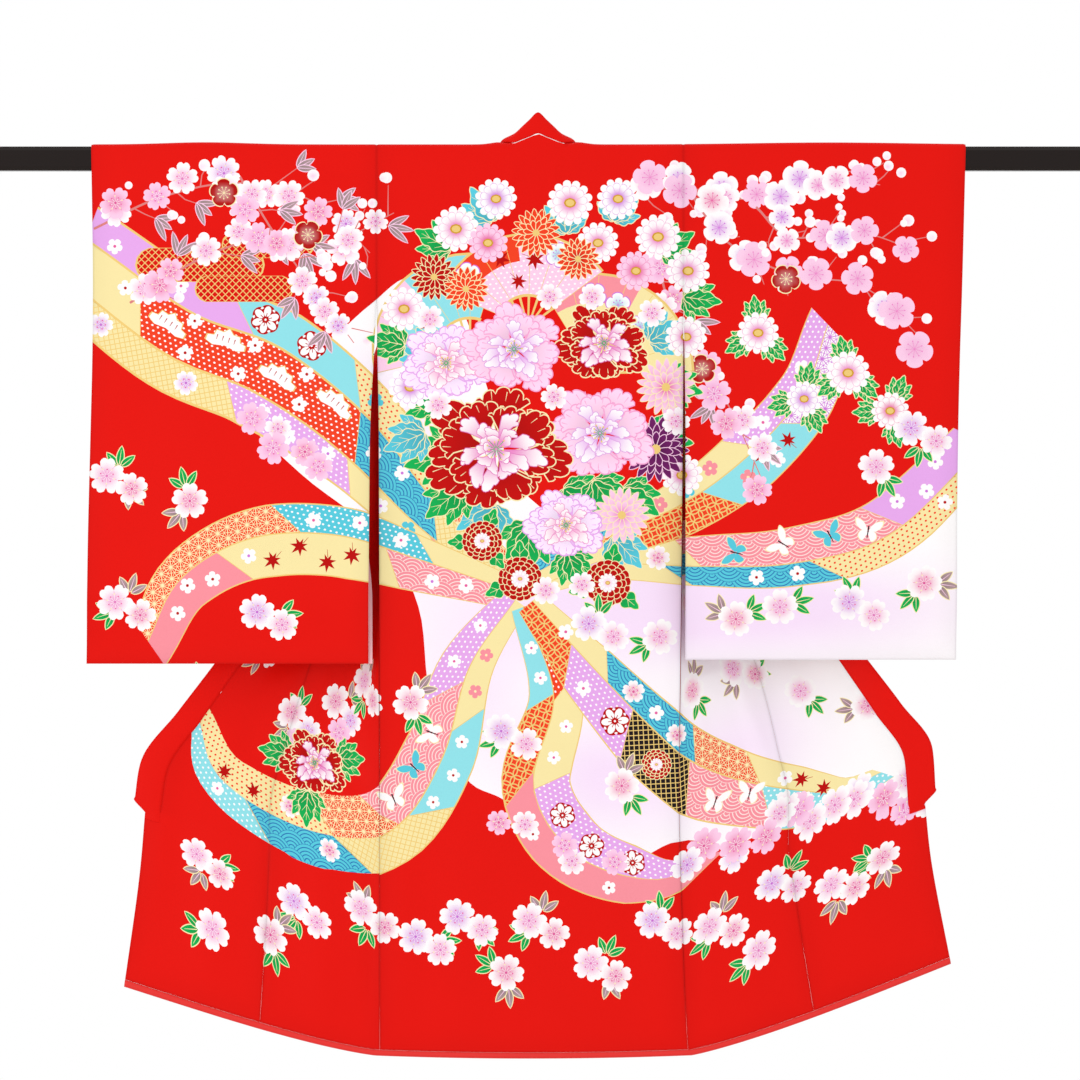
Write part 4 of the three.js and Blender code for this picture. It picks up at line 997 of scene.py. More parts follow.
def silk(figure):
    made, tree, shader = material("silk " + figure, Roughness=0.48, Specular_IOR_Level=0.07)
    if figure == "gold":
        shader.inputs["Metallic"].default_value = 0.35
        shader.inputs["Roughness"].default_value = 0.36
    # The dye attribute holds the print's colours and, near the edges, painted seam shade.
    dye = add_node(tree, "ShaderNodeVertexColor", layer_name="dye").outputs["Color"]
    tone = crepe(tree, shader)
    if figure in FIGURE_LINES:
        pattern, line = FIGURE_LINES[figure]
        split = add_node(tree, "ShaderNodeSeparateXYZ")
        tree.links.new(add_node(tree, "ShaderNodeUVMap", uv_map="figure").outputs["UV"], split.inputs[0])
        drawn = add_node(tree, "ShaderNodeMix", data_type="RGBA")
        tree.links.new(pattern(maths(tree), split.outputs[0], split.outputs[1]), drawn.inputs[0])
        tree.links.new(dye, drawn.inputs[6])
        drawn.inputs[7].default_value = (*line, 1)
        dye = drawn.outputs[2]
    toned = add_node(tree, "ShaderNodeVectorMath", operation="SCALE")
    tree.links.new(dye, toned.inputs[0])
    tree.links.new(tone, toned.inputs["Scale"])
    tree.links.new(toned.outputs[0], shader.inputs["Base Color"])
    return made


SILKS = [silk(figure) for figure in FIGURES]


def thin_lining(name, tone):
    made, tree, shader = material(name, Roughness=0.42, Specular_IOR_Level=0.4, Sheen_Weight=0.1)
    toned = add_node(tree, "ShaderNodeVectorMath", operation="SCALE")
    toned.inputs[0].default_value = tuple(tone)
    tree.links.new(crepe(tree, shader, 0.1), toned.inputs["Scale"])
    tree.links.new(toned.outputs[0], shader.inputs["Base Color"])
    return made


PINK_LINING = thin_lining("pink lining", LINING_PINK)
RED_LINING = thin_lining("red lining", LINING_RED)


def from_edges(left, right, length):
    """How far a place on a cut is from its nearest long edge or its end."""
    def edge(flat):
        x, along = flat.T
        return np.minimum(np.minimum(x - left(along), right(along) - x), length - abs(along))
    return edge


def lattice(alongs, left, right, pitch):
    """Points over a cut, row by row. The columns stand closer together at both long edges."""
    alongs = np.array(alongs, float)
    a, b = left(alongs), right(alongs)
    width = float(np.mean(b - a))
    inner = np.linspace(4.5, width - 4.5, max(2, int(width / pitch)))
    shares = np.concatenate([[0, 0.7, 2.0], inner, [width - 2.0, width - 0.7, width]]) / width
    across = a[:, None] + (b - a)[:, None] * shares[None, :]
    return np.stack([across, np.repeat(alongs[:, None], len(shares), 1)], axis=2)


def cut_out(loop, inner, outlines):
    """Triangles over a flat piece, cut along every outline, and the topmost outline over each."""
    points = [*map(tuple, loop), *map(tuple, inner)]
    faces = [list(range(len(loop)))]
    for outline in outlines:
        outline = outline[np.hypot(*(outline - np.roll(outline, 1, axis=0)).T) > 0.02]
        outline = np.roll(outline, -np.lexsort((outline[:, 1], outline[:, 0]))[0], axis=0)
        before, after = outline[0] - outline[-1], outline[1] - outline[0]
        if before[0] * after[1] - before[1] * after[0] < 0:
            outline = np.roll(outline[::-1], 1, axis=0)
        faces.append(list(range(len(points), len(points) + len(outline))))
        points += map(tuple, outline)
    got = delaunay_2d_cdt(points, [], faces, 1, 0.004, True)
    spots, every = np.array([tuple(p) for p in got[0]]), np.array([tuple(tri) for tri in got[2]])
    one, two = (spots[every[:, k]] - spots[every[:, 0]] for k in (1, 2))
    area = abs(one[:, 0] * two[:, 1] - one[:, 1] * two[:, 0]) / 2
    filled = np.zeros(len(faces))
    for size, ids in zip(area.tolist(), got[5]):
        for k in ids:
            filled[k] += size
    sound = [True, *(filled[k + 1] < 1.01 * np.prod(np.ptp(o, axis=0)) + 0.5 for k, o in enumerate(outlines))]
    kept = [(tri, max(k for k in ids if sound[k])) for tri, ids in zip(got[2], got[5]) if ids and min(ids) == 0]
    return spots, np.array([k[0] for k in kept]), np.array([k[1] for k in kept]), got[3]


def rim_of(triangles):
    """The edge of a piece as one loop of points."""
    following = {}
    sides = set()
    for a, b, c in triangles.tolist():
        sides.update(((a, b), (b, c), (c, a)))
    for a, b in sides:
        if (b, a) not in sides:
            following[a] = b
    start = next(iter(following))
    loop, here = [start], following[start]
    while here != start:
        loop.append(here)
        here = following[here]
    return np.array(loop)


STRAIGHT = 0.035  # how far off a line a point may lie and still be dropped


def thinned(loop, inner, outlines, longest):
    """The same cut without the outlines that lie hidden under later ones, and with straight runs joined."""
    flat, tris, top, origin = cut_out(loop, inner, outlines)
    corners = np.concatenate([tris[:, (0, 1)], tris[:, (1, 2)], tris[:, (2, 0)]])
    owner = np.tile(top, 3)
    codes, twins = corners[:, 0] * len(flat) + corners[:, 1], corners[:, 1] * len(flat) + corners[:, 0]
    order = np.argsort(codes)
    spot = np.minimum(np.searchsorted(codes[order], twins), len(codes) - 1)
    met = codes[order][spot] == twins
    seen = ~met | (owner[order][spot] != owner)
    border = set(rim_of(tris).tolist())
    near, mine = {}, {}
    for (a, b), who in zip(corners[seen].tolist(), owner[seen].tolist()):
        mine[a, b] = who
        near.setdefault(a, set()).add(b)
        near.setdefault(b, set()).add(a)
    for v in list(near):
        if v in border or len(near[v]) != 2:
            continue
        a, b = near[v]
        run, off = flat[b] - flat[a], flat[v] - flat[a]
        bent = abs(run[0] * off[1] - run[1] * off[0]) > STRAIGHT * np.hypot(*run)
        if b in near[a] or bent or run @ run > longest ** 2:
            continue
        for one, other in ((a, b), (b, a)):
            near[one] = near[one] - {v} | {other}
            mine[one, other] = mine.pop((one, v))
            mine.pop((v, one))
        near.pop(v)
    held = [k for k, olds in enumerate(origin) if any(len(loop) <= o < len(loop) + len(inner) for o in olds)]
    kept = np.array(sorted(set(near) | set(held)))
    number = np.full(len(flat), -1)
    number[kept] = np.arange(len(kept))
    lines = [(int(number[a]), int(number[b])) for a, b in mine if a < b or (b, a) not in mine]
    got = delaunay_2d_cdt([tuple(p) for p in flat[kept]], lines, [number[rim_of(tris)].tolist()], 1, 1e-6, True)
    tris2 = np.array([t for t, ids in zip(got[2], got[5]) if ids])
    back = {old: new for new, olds in enumerate(got[3]) for old in olds}
    walls = np.array([e for e, olds in zip(got[1], got[4]) if olds])
    n = len(got[0])
    wall_codes = np.unique(np.concatenate([walls[:, 0] * n + walls[:, 1], walls[:, 1] * n + walls[:, 0]]))
    sides = np.concatenate([tris2[:, (0, 1)], tris2[:, (1, 2)], tris2[:, (2, 0)]])
    face = np.tile(np.arange(len(tris2)), 3)
    codes, twins = sides[:, 0] * n + sides[:, 1], sides[:, 1] * n + sides[:, 0]
    label = np.zeros(len(tris2), int)
    known = {back[int(number[a])] * n + back[int(number[b])]: who for (a, b), who in mine.items()}
    for code, which in zip(codes.tolist(), face.tolist()):
        if code in known:
            label[which] = known[code] + 1
    order = np.argsort(codes)
    spot = np.minimum(np.searchsorted(codes[order], twins), len(codes) - 1)
    open_side = (codes[order][spot] == twins) & ~np.isin(codes, wall_codes)
    one, other = face[open_side], face[order][spot][open_side]
    for _ in range(4000):
        reach = (label[one] == 0) & (label[other] > 0)
        if not reach.any():
            break
        label[one[reach]] = label[other[reach]]
    return np.array([tuple(p) for p in got[0]]), tris2, np.maximum(label - 1, 0)


HALF_THICK, TURNED_IN, TURN_WIDE = 0.8, 0.5, 2.4
PAINTED_EDGE_SHADE = ((0.16, 1.4), (0.05, 14))  # how much painted shade darkens the dye at an edge, standing in for the shade in the seam's groove, and how far in


def facing(place, flat, sign, step=1.4):
    """Which way the printed side faces."""
    u = place(flat + (step, 0)) - place(flat - (step, 0))
    v = place(flat + (0, step)) - place(flat - (0, step))
    n = np.cross(u, v) * sign
    return n / np.maximum(np.linalg.norm(n, axis=1), 1e-9)[:, None]


def lay_cloth(name, grid, place, sign, to_design, from_design, edge, keep=lambda patch: True, coarse=3,
              longest=20):
    """A lined piece: the print cut into the outer side, a plain inner side, and a rim between them."""
    loop = np.concatenate([grid[0], grid[1:, -1], grid[-1, -2::-1], grid[-2:0:-1, 0]])
    x, y = loop.T
    if (x * np.roll(y, -1) - y * np.roll(x, -1)).sum() < 0:
        loop = loop[::-1]
    low, high = loop.min(0) - 1, loop.max(0) + 1
    used, outlines = [], []
    for patch in LAID:
        outline = from_design(patch.outline)
        if not keep(patch) or (outline.max(0) < low).any() or (outline.min(0) > high).any():
            continue
        used.append(patch)
        outlines.append(outline)
    flat, tris, top = thinned(loop, grid[1:-1, 1:-1].reshape(-1, 2), outlines, longest)
    seen = np.unique(tris)
    number = np.full(len(flat), -1)
    number[seen] = np.arange(len(seen))
    flat, tris = flat[seen], number[tris]
    rim = rim_of(tris)
    inside = grid[coarse:-coarse:coarse, coarse:-coarse:coarse].reshape(-1, 2)
    under, under_tris, _, origin = cut_out(flat[rim], inside, [])
    at_rim = {old: new for new, olds in enumerate(origin) for old in olds if old < len(rim)}

    spots, normal = place(flat), facing(place, flat, sign)
    turned_in = TURNED_IN * (1 - smooth(0, TURN_WIDE, edge(flat)))[:, None]
    outer = spots + normal * (HALF_THICK - turned_in)
    inner = place(under) - facing(place, under, sign) * (HALF_THICK - 0.1)
    n = len(outer)
    a, b, c = (outer[tris[:, k]] for k in range(3))
    flip = (np.cross(b - a, c - a) * normal[tris[:, 0]]).sum() < 0
    below = under_tris[:, ::-1] + n
    here, after = rim, np.roll(rim, -1)
    base = np.array([at_rim[k] for k in range(len(rim))]) + n
    base_after = np.roll(base, -1)
    side_a, side_b = np.stack([after, here, base], 1), np.stack([after, base, base_after], 1)
    faces = np.concatenate([tris, below, side_a, side_b])
    if flip:
        faces = faces[:, ::-1]
    everything = np.concatenate([outer, inner]) * MM
    mesh = bpy.data.meshes.new(name)
    mesh.from_pydata(everything.tolist(), [], faces.tolist())
    outward = np.concatenate([normal, -facing(place, under, sign)])

    corners = faces.reshape(-1)
    all_flat = np.concatenate([flat, under])[corners]
    tones = np.tile(np.append(RED, 1.0), (len(corners), 1))
    figure_uv = np.array(all_flat)
    slots = np.zeros(len(faces), int)
    outer_flat = all_flat[: 3 * len(tris)]
    design = to_design(outer_flat)
    order = np.argsort(top, kind="stable")
    bounds = np.searchsorted(top[order], np.arange(len(used) + 2))
    for k, patch in enumerate(used, 1):
        mine = order[bounds[k]:bounds[k + 1]]
        if not len(mine):
            continue
        places = (mine[:, None] * 3 + np.arange(3)).reshape(-1)
        tones[places, :3] = np.clip(patch.dye(design[places]), 0, 1)
        if patch.figure != "plain":
            slots[mine] = FIGURES.index(patch.figure)
            figure_uv[places] = turned(design[places], (0, 0), -patch.turn)
    slots[len(tris):len(tris) + len(below)] = len(SILKS)
    # Painted shade: the dye is darkened near every edge of the piece, standing in for the shade that falls in
    # the seam's groove.
    near = edge(all_flat)
    tones[:, :3] *= (1 - sum(much * np.exp(-((near / wide) ** 2)) for much, wide in PAINTED_EDGE_SHADE))[:, None]
    dye = mesh.color_attributes.new("dye", "FLOAT_COLOR", "CORNER")
    dye.data.foreach_set("color", tones.astype(np.float32).reshape(-1))
    mesh.uv_layers.new(name="cloth").data.foreach_set("uv", (all_flat * MM).astype(np.float32).reshape(-1))
    mesh.uv_layers.new(name="figure").data.foreach_set("uv", figure_uv.astype(np.float32).reshape(-1))
    for made in SILKS + [PINK_LINING]:
        mesh.materials.append(made)
    mesh.polygons.foreach_set("material_index", slots)
    mesh.polygons.foreach_set("use_smooth", np.ones(len(faces), bool))
    mesh.normals_split_custom_set_from_vertices(outward.tolist())
    piece = bpy.data.objects.new(name, mesh)
    bpy.context.scene.collection.objects.link(piece)
    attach(piece, "root")
    print(name, len(faces), "triangles")
    return piece


def spread(*marks):
    """Distances down a cloth: (from, to, pitch) in turn."""
    rows = [np.arange(a, b - pitch / 3, pitch) for a, b, pitch in marks]
    return np.concatenate([*rows, [marks[-1][1]]])


BACK_FOLDS = (
    (-146, 150, -146, 905, 1.6, -0.45), (-120, 620, -132, 900, 16, 1.4), (128, 600, 140, 905, 18, 1.6),
    (-60, 700, -70, 915, 30, 1.2), (60, 680, 76, 915, 34, 1.1), (0, 10, 4, 260, 40, 0.6),
    (-147, 300, -100, 520, 14, 0.7), (144, 320, 108, 560, 16, 0.7), (30, 14, 22, 60, 5, 0.5),
    (-14, 14, -22, 64, 5, 0.5),
)


def back_laid(flat):
    spots = back_place(flat)
    spots[:, 1] -= creased(flat, BACK_FOLDS)
    return spots


def back_edge(side):
    return lambda along: side * (half_back(side, along) - CUT_SHY)


back_rows = spread((0.1, 15, 0.9), (15, 60, 3), (60, CLOTH_END - 3, 6), (CLOTH_END - 3, CLOTH_END, 1))
same = lambda flat: flat
piece = lay_cloth(
    "kimono_back", lattice(back_rows, back_edge(-1), back_edge(1), 6.0), back_laid, -1, same, same,
    from_edges(back_edge(-1), back_edge(1), CLOTH_END),
)
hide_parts("back")

# ---- Fronts ------------------------------------------------------------------------------------------
# Half a width of the same silk each, over the rod and down behind it, gathered in deep folds under the
# sleeve and drawn out below into a wing. Each is sewn to the back's side below the armhole.
OUT, AWAY, HEIGHT, WIDTH, FRONT_WIDTH, SLACK, LEAN = range(1, 8)
EDGE = {  # down, out, back, height, width, width of the front, share in folds, how far it starts straight back
    -1: ((13.6, 4, 10.2, 7.4, 149.5, 121.5, 0, 0), (40, 14, 12, -17, 154, 121.5, 0, 0),
         (90, 40, 18, -65, 163, 121.5, 0.5, 0.3), (153, 74, 30, -122, 172, 121.5, 0.8, 0.8),
         (225, 114, 46, -189, 183, 121, 0.85, 1), (294, 153.4, 58, -254.5, 194, 120, 0.85, 1),
         (400, 210, 52, -344, 209, 119, 0.8, 0.95), (521, 276, 38, -447, 227, 118, 0.3, 0.55),
         (590, 318, 28, -506, 237, 118, 0.13, 0.3), (650, 355, 20, -555, 246, 118, 0.08, 0.15),
         (708, 391, 15, -603, 256, 118, 0, 0.05), (750, 398, 13, -645, 262, 118, 0, 0)),
    1: ((13.6, 20, 10.2, 7.4, 133.5, 105.5, 0, 0), (40, 29, 12, -17, 138, 106, 0, 0),
        (90, 53, 17, -65, 148, 107, 0.5, 0.3), (153, 84, 28, -122, 158, 108, 0.8, 0.8),
        (225, 122, 44, -189, 171, 109, 0.85, 1), (294, 159, 55, -252, 183, 110, 0.85, 1),
        (400, 221, 50, -342, 201, 110, 0.8, 0.95), (521, 296, 36, -444, 222, 110, 0.3, 0.55),
        (590, 340, 27, -502, 234, 110, 0.13, 0.3), (650, 374, 19, -547, 245, 110, 0.08, 0.15),
        (708, 405, 15, -592, 255, 110, 0, 0.05), (750, 408, 13, -636, 261, 110, 0, 0)),
}
PLAIN = {  # the same below the collar's end
    -1: ((750, 387, 13, -654, 251, 118, 0, 0), (830, 393, 12, -722, 258, 122, 0, 0),
         (921, 408, 10, -831, 272, 128, 0, 0)),
    1: ((750, 397, 13, -645, 250, 110, 0, 0), (830, 404, 12, -708, 258, 120, 0, 0),
        (921, 423, 10, -808, 274, 132, 0, 0)),
}
COLLAR_WIDTH, OKUMI_TOP = 28.0, 61.0
STEPS, FOLDS = 120, 2.5


def front_rows(side, table, alongs):
    """Cuts through the gathered front, one for each distance down it, as paths in plan."""
    out, back, z, width, slack, lean = (read(table, c, alongs) for c in (OUT, AWAY, HEIGHT, WIDTH, SLACK, LEAN))
    depth, top = over_bar(alongs)
    over = alongs < OVER_END
    back, z = np.where(over, depth, back), np.where(over, top, z)
    out = np.where(over, table[0][1] - 2 * (1 - alongs / OVER_END), out)
    joined = smooth(153, 225, alongs)
    seam = half_back(side, alongs) + 1j * (depth + (back_depth(alongs) - depth) * joined)
    chord = out + 1j * back - seam
    spare = np.maximum(0, np.sqrt(width ** 2 - (z - top) ** 2) - abs(chord))
    cloth = abs(chord) + slack * spare
    turn = 2 * (math.pi / 2 - np.angle(chord)) * lean
    s = (np.arange(STEPS) + 0.5) / STEPS
    wave = np.sin(2 * math.pi * FOLDS * (s + 0.05 * (np.sin(2 * math.pi * s + 1) - math.sin(1))))

    def path(swing):
        steps = np.exp(1j * (turn[:, None] * (0.5 - s) + swing[:, None] * wave)) / STEPS
        return np.concatenate([np.zeros((len(alongs), 1)), np.cumsum(steps, axis=1)], axis=1)

    low, high = np.zeros(len(alongs)), np.full(len(alongs), 2.1)
    taut = abs(path(low)[:, -1]) * cloth <= abs(chord)
    for _ in range(16):
        middle = (low + high) / 2
        longer = (abs(path(middle)[:, -1]) * cloth > abs(chord)) & ~taut
        low, high = np.where(longer, middle, low), np.where(longer, high, middle)
    line = path(high)
    return seam[:, None] + line * (chord / line[:, -1])[:, None]


FRONT_ROWS = {False: np.concatenate([np.arange(0, 16, 0.8), np.arange(16, 751, 2.0)]),
              True: np.arange(750, 923, 2.0)}
PATHS = {(side, below): front_rows(side, (PLAIN if below else EDGE)[side], FRONT_ROWS[below])
         for side in (-1, 1) for below in (False, True)}


def edge_of(side, column, along):
    along = np.asarray(along, float)
    return np.where(along > COLLAR_END, read(PLAIN[side], column, along), read(EDGE[side], column, along))


def front_place(side):
    def place(flat):
        across, along = flat[:, 0], np.maximum(flat[:, 1], 0)
        share = np.clip(across / edge_of(side, WIDTH, along), 0, 1)
        step = np.minimum(share * STEPS, STEPS - 1e-6)
        j = step.astype(int)
        plan = np.zeros(len(flat), complex)
        for below in (False, True):
            mine = np.where((along > COLLAR_END) == below)[0]
            if not len(mine):
                continue
            rows, paths = FRONT_ROWS[below], PATHS[side, below]
            i = np.clip(np.searchsorted(rows, along[mine], side="right") - 1, 0, len(rows) - 2)
            s = np.clip((along[mine] - rows[i]) / (rows[i + 1] - rows[i]), 0, 1)
            k, t = j[mine], (step - j)[mine]
            upper = paths[i, k] * (1 - t) + paths[i, k + 1] * t
            lower = paths[i + 1, k] * (1 - t) + paths[i + 1, k + 1] * t
            plan[mine] = upper * (1 - s) + lower * s
        _, top = over_bar(along)
        z_edge = np.where(along < OVER_END, top, edge_of(side, HEIGHT, along))
        sag = 6 * smooth(COLLAR_END, BODY_LENGTH, along) * np.sin(math.pi * share ** 0.7)
        x = side * plan.real
        return np.stack([x, plan.imag, top + (z_edge - top) * share - sag + hump(x, along)], axis=1)
    return place


WING_FOLDS = {
    -1: ((85, 545, 104, 700, 9, 2.2), (30, 560, 44, 760, 12, 1.6), (150, 560, 190, 700, 14, 1.8),
         (118.5, 640, 124, 915, 3.0, -0.8), (60, 700, 64, 915, 22, 2.0), (170, 740, 186, 915, 24, 1.8),
         (220, 640, 244, 860, 14, 1.3), (8, 620, 12, 900, 8, -1.2)),
    1: ((78, 540, 100, 690, 10, 2.0), (24, 560, 36, 740, 12, 1.6), (140, 560, 176, 690, 15, 1.8),
        (111, 640, 127, 915, 3.0, -0.8), (62, 690, 72, 915, 22, 2.0), (176, 730, 190, 915, 24, 1.8),
        (214, 640, 240, 860, 14, 1.3), (8, 620, 12, 900, 9, -1.3)),
}


def front_laid(side):
    place = front_place(side)

    def laid(flat):
        lift = creased(flat, WING_FOLDS[side])
        spots = place(flat)
        spots[:, 1] -= lift * smooth(440, 620, flat[:, 1])
        return spots
    return laid


def wing_maps(side):
    """Between a front's own flat coordinates and the print's."""
    to_design = lambda f: np.stack([side * (f[:, 0] + half_back(side, f[:, 1])), f[:, 1]], axis=1)
    from_design = lambda d: np.stack([side * d[:, 0] - half_back(side, d[:, 1]), d[:, 1]], axis=1)
    return to_design, from_design


WING_PRINT = {-1: lambda patch: patch.low[1] > 500, 1: lambda patch: patch.high[1] > 430}


def front_start(side):
    """A front that turns back sharply from the seam starts clear of the back's thickness."""
    rows, first = [], []
    for below in (False, True):
        paths = PATHS[side, below]
        rows.append(FRONT_ROWS[below])
        first.append(abs(np.sin(np.angle(paths[:, 1] - paths[:, 0]))))
    rows, first = np.concatenate(rows), np.concatenate(first)
    return lambda along: CUT_SHY + 0.9 * np.interp(along, rows, first) * smooth(40, 153, along)


def front_end(side):
    def end(along):
        above = edge_of(side, WIDTH, along) - COLLAR_WIDTH
        return np.where(np.asarray(along) < OKUMI_TOP - 1, above, edge_of(side, FRONT_WIDTH, along)) - CUT_SHY
    return end


front_rows_down = spread((0.1, 15, 0.9), (15, 59, 4), (59, 60.9, 0.9), (60.9, 153, 4.5), (153, 640, 5),
                         (640, CLOTH_END - 3, 6), (CLOTH_END - 3, CLOTH_END, 1))
for side, word in BOTH_SIDES:
    start, end = front_start(side), front_end(side)
    to_design, from_design = wing_maps(side)
    piece = lay_cloth(
        "kimono_front_" + word, lattice(front_rows_down, start, end, 4.6), front_laid(side), -side,
        to_design, from_design, from_edges(start, end, CLOTH_END),
        keep=WING_PRINT[side], coarse=1, longest=5,
    )
    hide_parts("front_" + word)

# ---- Okumi -------------------------------------------------------------------------------------------
# The narrow panel that is sewn to the cut edge of each front, under the collar and then down to the hem.
okumi_rows = spread((OKUMI_TOP, 153, 4.5), (153, 640, 5), (640, 746, 5), (746, 749, 1), (751.5, 755, 1),
                    (755, CLOTH_END - 3, 6), (CLOTH_END - 3, CLOTH_END, 1))
for side, word in BOTH_SIDES:
    def start(along, side=side):
        return edge_of(side, FRONT_WIDTH, along) + CUT_SHY

    def end(along, side=side):
        return np.where(np.asarray(along) > COLLAR_END, edge_of(side, WIDTH, along),
                        edge_of(side, WIDTH, along) - COLLAR_WIDTH - CUT_SHY)

    to_design, from_design = wing_maps(side)
    piece = lay_cloth(
        "kimono_okumi_" + word, lattice(okumi_rows, start, end, 4.6), front_laid(side), -side,
        to_design, from_design, from_edges(start, end, CLOTH_END),
        keep=WING_PRINT[side], coarse=1, longest=5,
    )
    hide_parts("okumi_" + word)

# ---- Collar ------------------------------------------------------------------------------------------
# One long band of the red silk, folded double over a soft core. It runs from the end of one front, up
# round the neck, where it stands, and down to the end of the other.
COLLAR_ON_BACK = ((0, 0.3, 0, -7.5, 46, 0), (8, 0.4, 8.5, -6.8, 38.5, 0.4), (16, 0.7, 16, -5.2, 31.5, 0.8),
                  (24, 1.3, 21, -2, 26.5, 1.5), (31, 1.5, 24.5, 3, 23, 2.5), (36.5, 1.5, 26, 8, 20, 3))
COLLAR_ON_FRONT = ((4.2, 1.3, 26.5, 12, 16.5, 3), (9, 1, 26, 14.5, 11.5, 2.5),
                   (13.6, 0.7, 24.5, 15.5, 5.5, 1.5))
BAND = np.linspace(0, 1, 9)  # shares of the collar's width
TURNED_END = 13  # rows of the finished band


def closed_piece(name, points, faces, flat, finish):
    """A small closed piece in one finish, with its flat places as the cloth's map and its faces outwards."""
    mesh = bpy.data.meshes.new(name)
    mesh.from_pydata((points * MM).tolist(), [], faces)
    corners = np.concatenate([np.array(face) for face in faces])
    mesh.uv_layers.new(name="cloth").data.foreach_set("uv", (flat[corners] * MM).astype(np.float32).reshape(-1))
    mesh.polygons.foreach_set("use_smooth", np.ones(len(faces), bool))
    mesh.materials.append(finish)
    mesh.update()
    piece = bpy.data.objects.new(name, mesh)
    bpy.context.scene.collection.objects.link(piece)
    bpy.ops.object.select_all(action="DESELECT")
    piece.select_set(True)
    bpy.context.view_layer.objects.active = piece
    bpy.ops.object.mode_set(mode="EDIT")
    bpy.ops.mesh.select_all(action="SELECT")
    bpy.ops.mesh.normals_make_consistent(inside=False)
    bpy.ops.object.mode_set(mode="OBJECT")
    return piece


def collar_half(side):
    """Rows of points across the band, from the nape down to its end."""
    place = front_laid(side)
    rows = []
    for own, table in ((back_place, COLLAR_ON_BACK), (place, COLLAR_ON_FRONT)):
        for first, gap, out, back, z, puff in table:
            if own is back_place:
                seam = own(np.array([(NECK_MIDDLE + side * first, 0.0)]))[0]
            else:
                seam = own(np.array([(float(edge_of(side, WIDTH, first)) - COLLAR_WIDTH, first)]))[0]
            free = np.array((NECK_MIDDLE + side * out, back, z), float)
            start = seam + gap * (free - seam) / np.linalg.norm(free - seam)
            middle = (start + free) / 2 + puff * np.array((side, -1.2, 1.2))
            t = BAND[:, None]
            rows.append((1 - t) ** 2 * start + 2 * t * (1 - t) * middle + t * t * free)
    for along in (40, 50, 59, 68, *np.arange(76, 741, 8), 745, 749, 752, 756, 759):  # down to its turned end
        width = float(edge_of(side, WIDTH, min(along, COLLAR_END)))
        end = min(width, float(edge_of(side, WIDTH, along)))
        start = width - COLLAR_WIDTH - 0.5
        across = start + BAND * (end - start)
        rows.append(place(np.stack([across, np.full(len(BAND), float(along))], axis=1)))
    return np.array(rows)


left_half, right_half = collar_half(-1), collar_half(1)
coarse = np.concatenate([left_half[::-1], right_half[1:]])
rows = []
for k in range(len(coarse) - 1):
    p, q, r, s = (coarse[min(len(coarse) - 1, max(0, k + d))] for d in (-1, 0, 1, 2))
    for t in (0, 0.25, 0.5, 0.75):
        rows.append(0.5 * (2 * q + (r - p) * t + (2 * p - 5 * q + 4 * r - s) * t ** 2
                           + (3 * q - p - 3 * r + s) * t ** 3))
band = np.array([*rows, coarse[-1]])
count, wide = band.shape[:2]
u = np.gradient(band, axis=0)
v = np.gradient(band, axis=1)
normal = np.cross(u, v)
normal /= np.maximum(np.linalg.norm(normal, axis=2), 1e-9)[..., None]
if normal[4 * (len(left_half) - 1), wide // 2][1] > 0:
    normal = -normal
crown = 0.25 + 1.35 * np.sin(math.pi * np.clip(BAND, 0.02, 0.98)) ** 0.6
outer = band + normal * crown[None, :, None]
sunk = np.minimum(np.arange(count), np.arange(count)[::-1]) > TURNED_END  # its turned ends lie on the okumi
inner = band - normal * (0.25 + 0.45 * np.sin(math.pi * BAND))[None, :, None] * sunk[:, None, None]
number = np.arange(count * wide).reshape(count, wide)
quads = []


def add_quads(a, b, c, d):
    quads.append(np.stack([np.ravel(k) for k in (a, b, c, d)], axis=1))


below = number + count * wide
add_quads(number[:-1, :-1], number[1:, :-1], number[1:, 1:], number[:-1, 1:])
add_quads(below[:-1, :-1], below[:-1, 1:], below[1:, 1:], below[1:, :-1])
add_quads(number[:-1, 0], below[:-1, 0], below[1:, 0], number[1:, 0])
add_quads(number[:-1, -1], number[1:, -1], below[1:, -1], below[:-1, -1])
add_quads(number[0, :-1], number[0, 1:], below[0, 1:], below[0, :-1])
add_quads(number[-1, :-1], below[-1, :-1], below[-1, 1:], number[-1, 1:])
faces = np.concatenate(quads)
run = np.concatenate([[0], np.cumsum(np.linalg.norm(np.diff(band[:, wide // 2], axis=0), axis=1))])
spots = np.stack(np.meshgrid(BAND * COLLAR_WIDTH, run), axis=2).reshape(-1, 2)
points = np.concatenate([outer.reshape(-1, 3), inner.reshape(-1, 3)])
collar = closed_piece("kimono_collar", points, faces.tolist(), np.tile(spots, (2, 1)), SILKS[0])
tones = np.tile(np.append(RED, 1.0), (faces.size, 1)).astype(np.float32)
collar.data.color_attributes.new("dye", "FLOAT_COLOR", "CORNER").data.foreach_set("color", tones.reshape(-1))
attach(collar, "root")
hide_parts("collar")

# ---- Sleeves -----------------------------------------------------------------------------------------
# One length of silk each, folded over the rod, sewn along the bottom, open at the cuff and open again
# towards the body below the armhole. The lining's edge shows along the inner opening.
OUTER_EDGE, NEAR_EDGE, FAR_EDGE = 1, 2, 3
SLEEVE = {  # down, outer edge, inner edge of the near layer, inner edge of the far layer
    -1: ((0, 439, 153.4, 153.4), (153, 437, 153.4, 153.4), (215, 437.5, 156, 167), (300, 439.5, 160, 168),
         (400, 442, 161, 164), (460, 443, 161.6, 158.6), (527, 444.5, 162, 158)),
    1: ((0, 436, 153.4, 153.4), (153, 432, 153.4, 153.4), (215, 430, 154.5, 169), (300, 428, 155.5, 171),
        (400, 427, 155.5, 169), (460, 427, 155.5, 162), (527, 427, 155.5, 156)),
}
SLEEVE_END = {-1: 527.0, 1: 523.0}
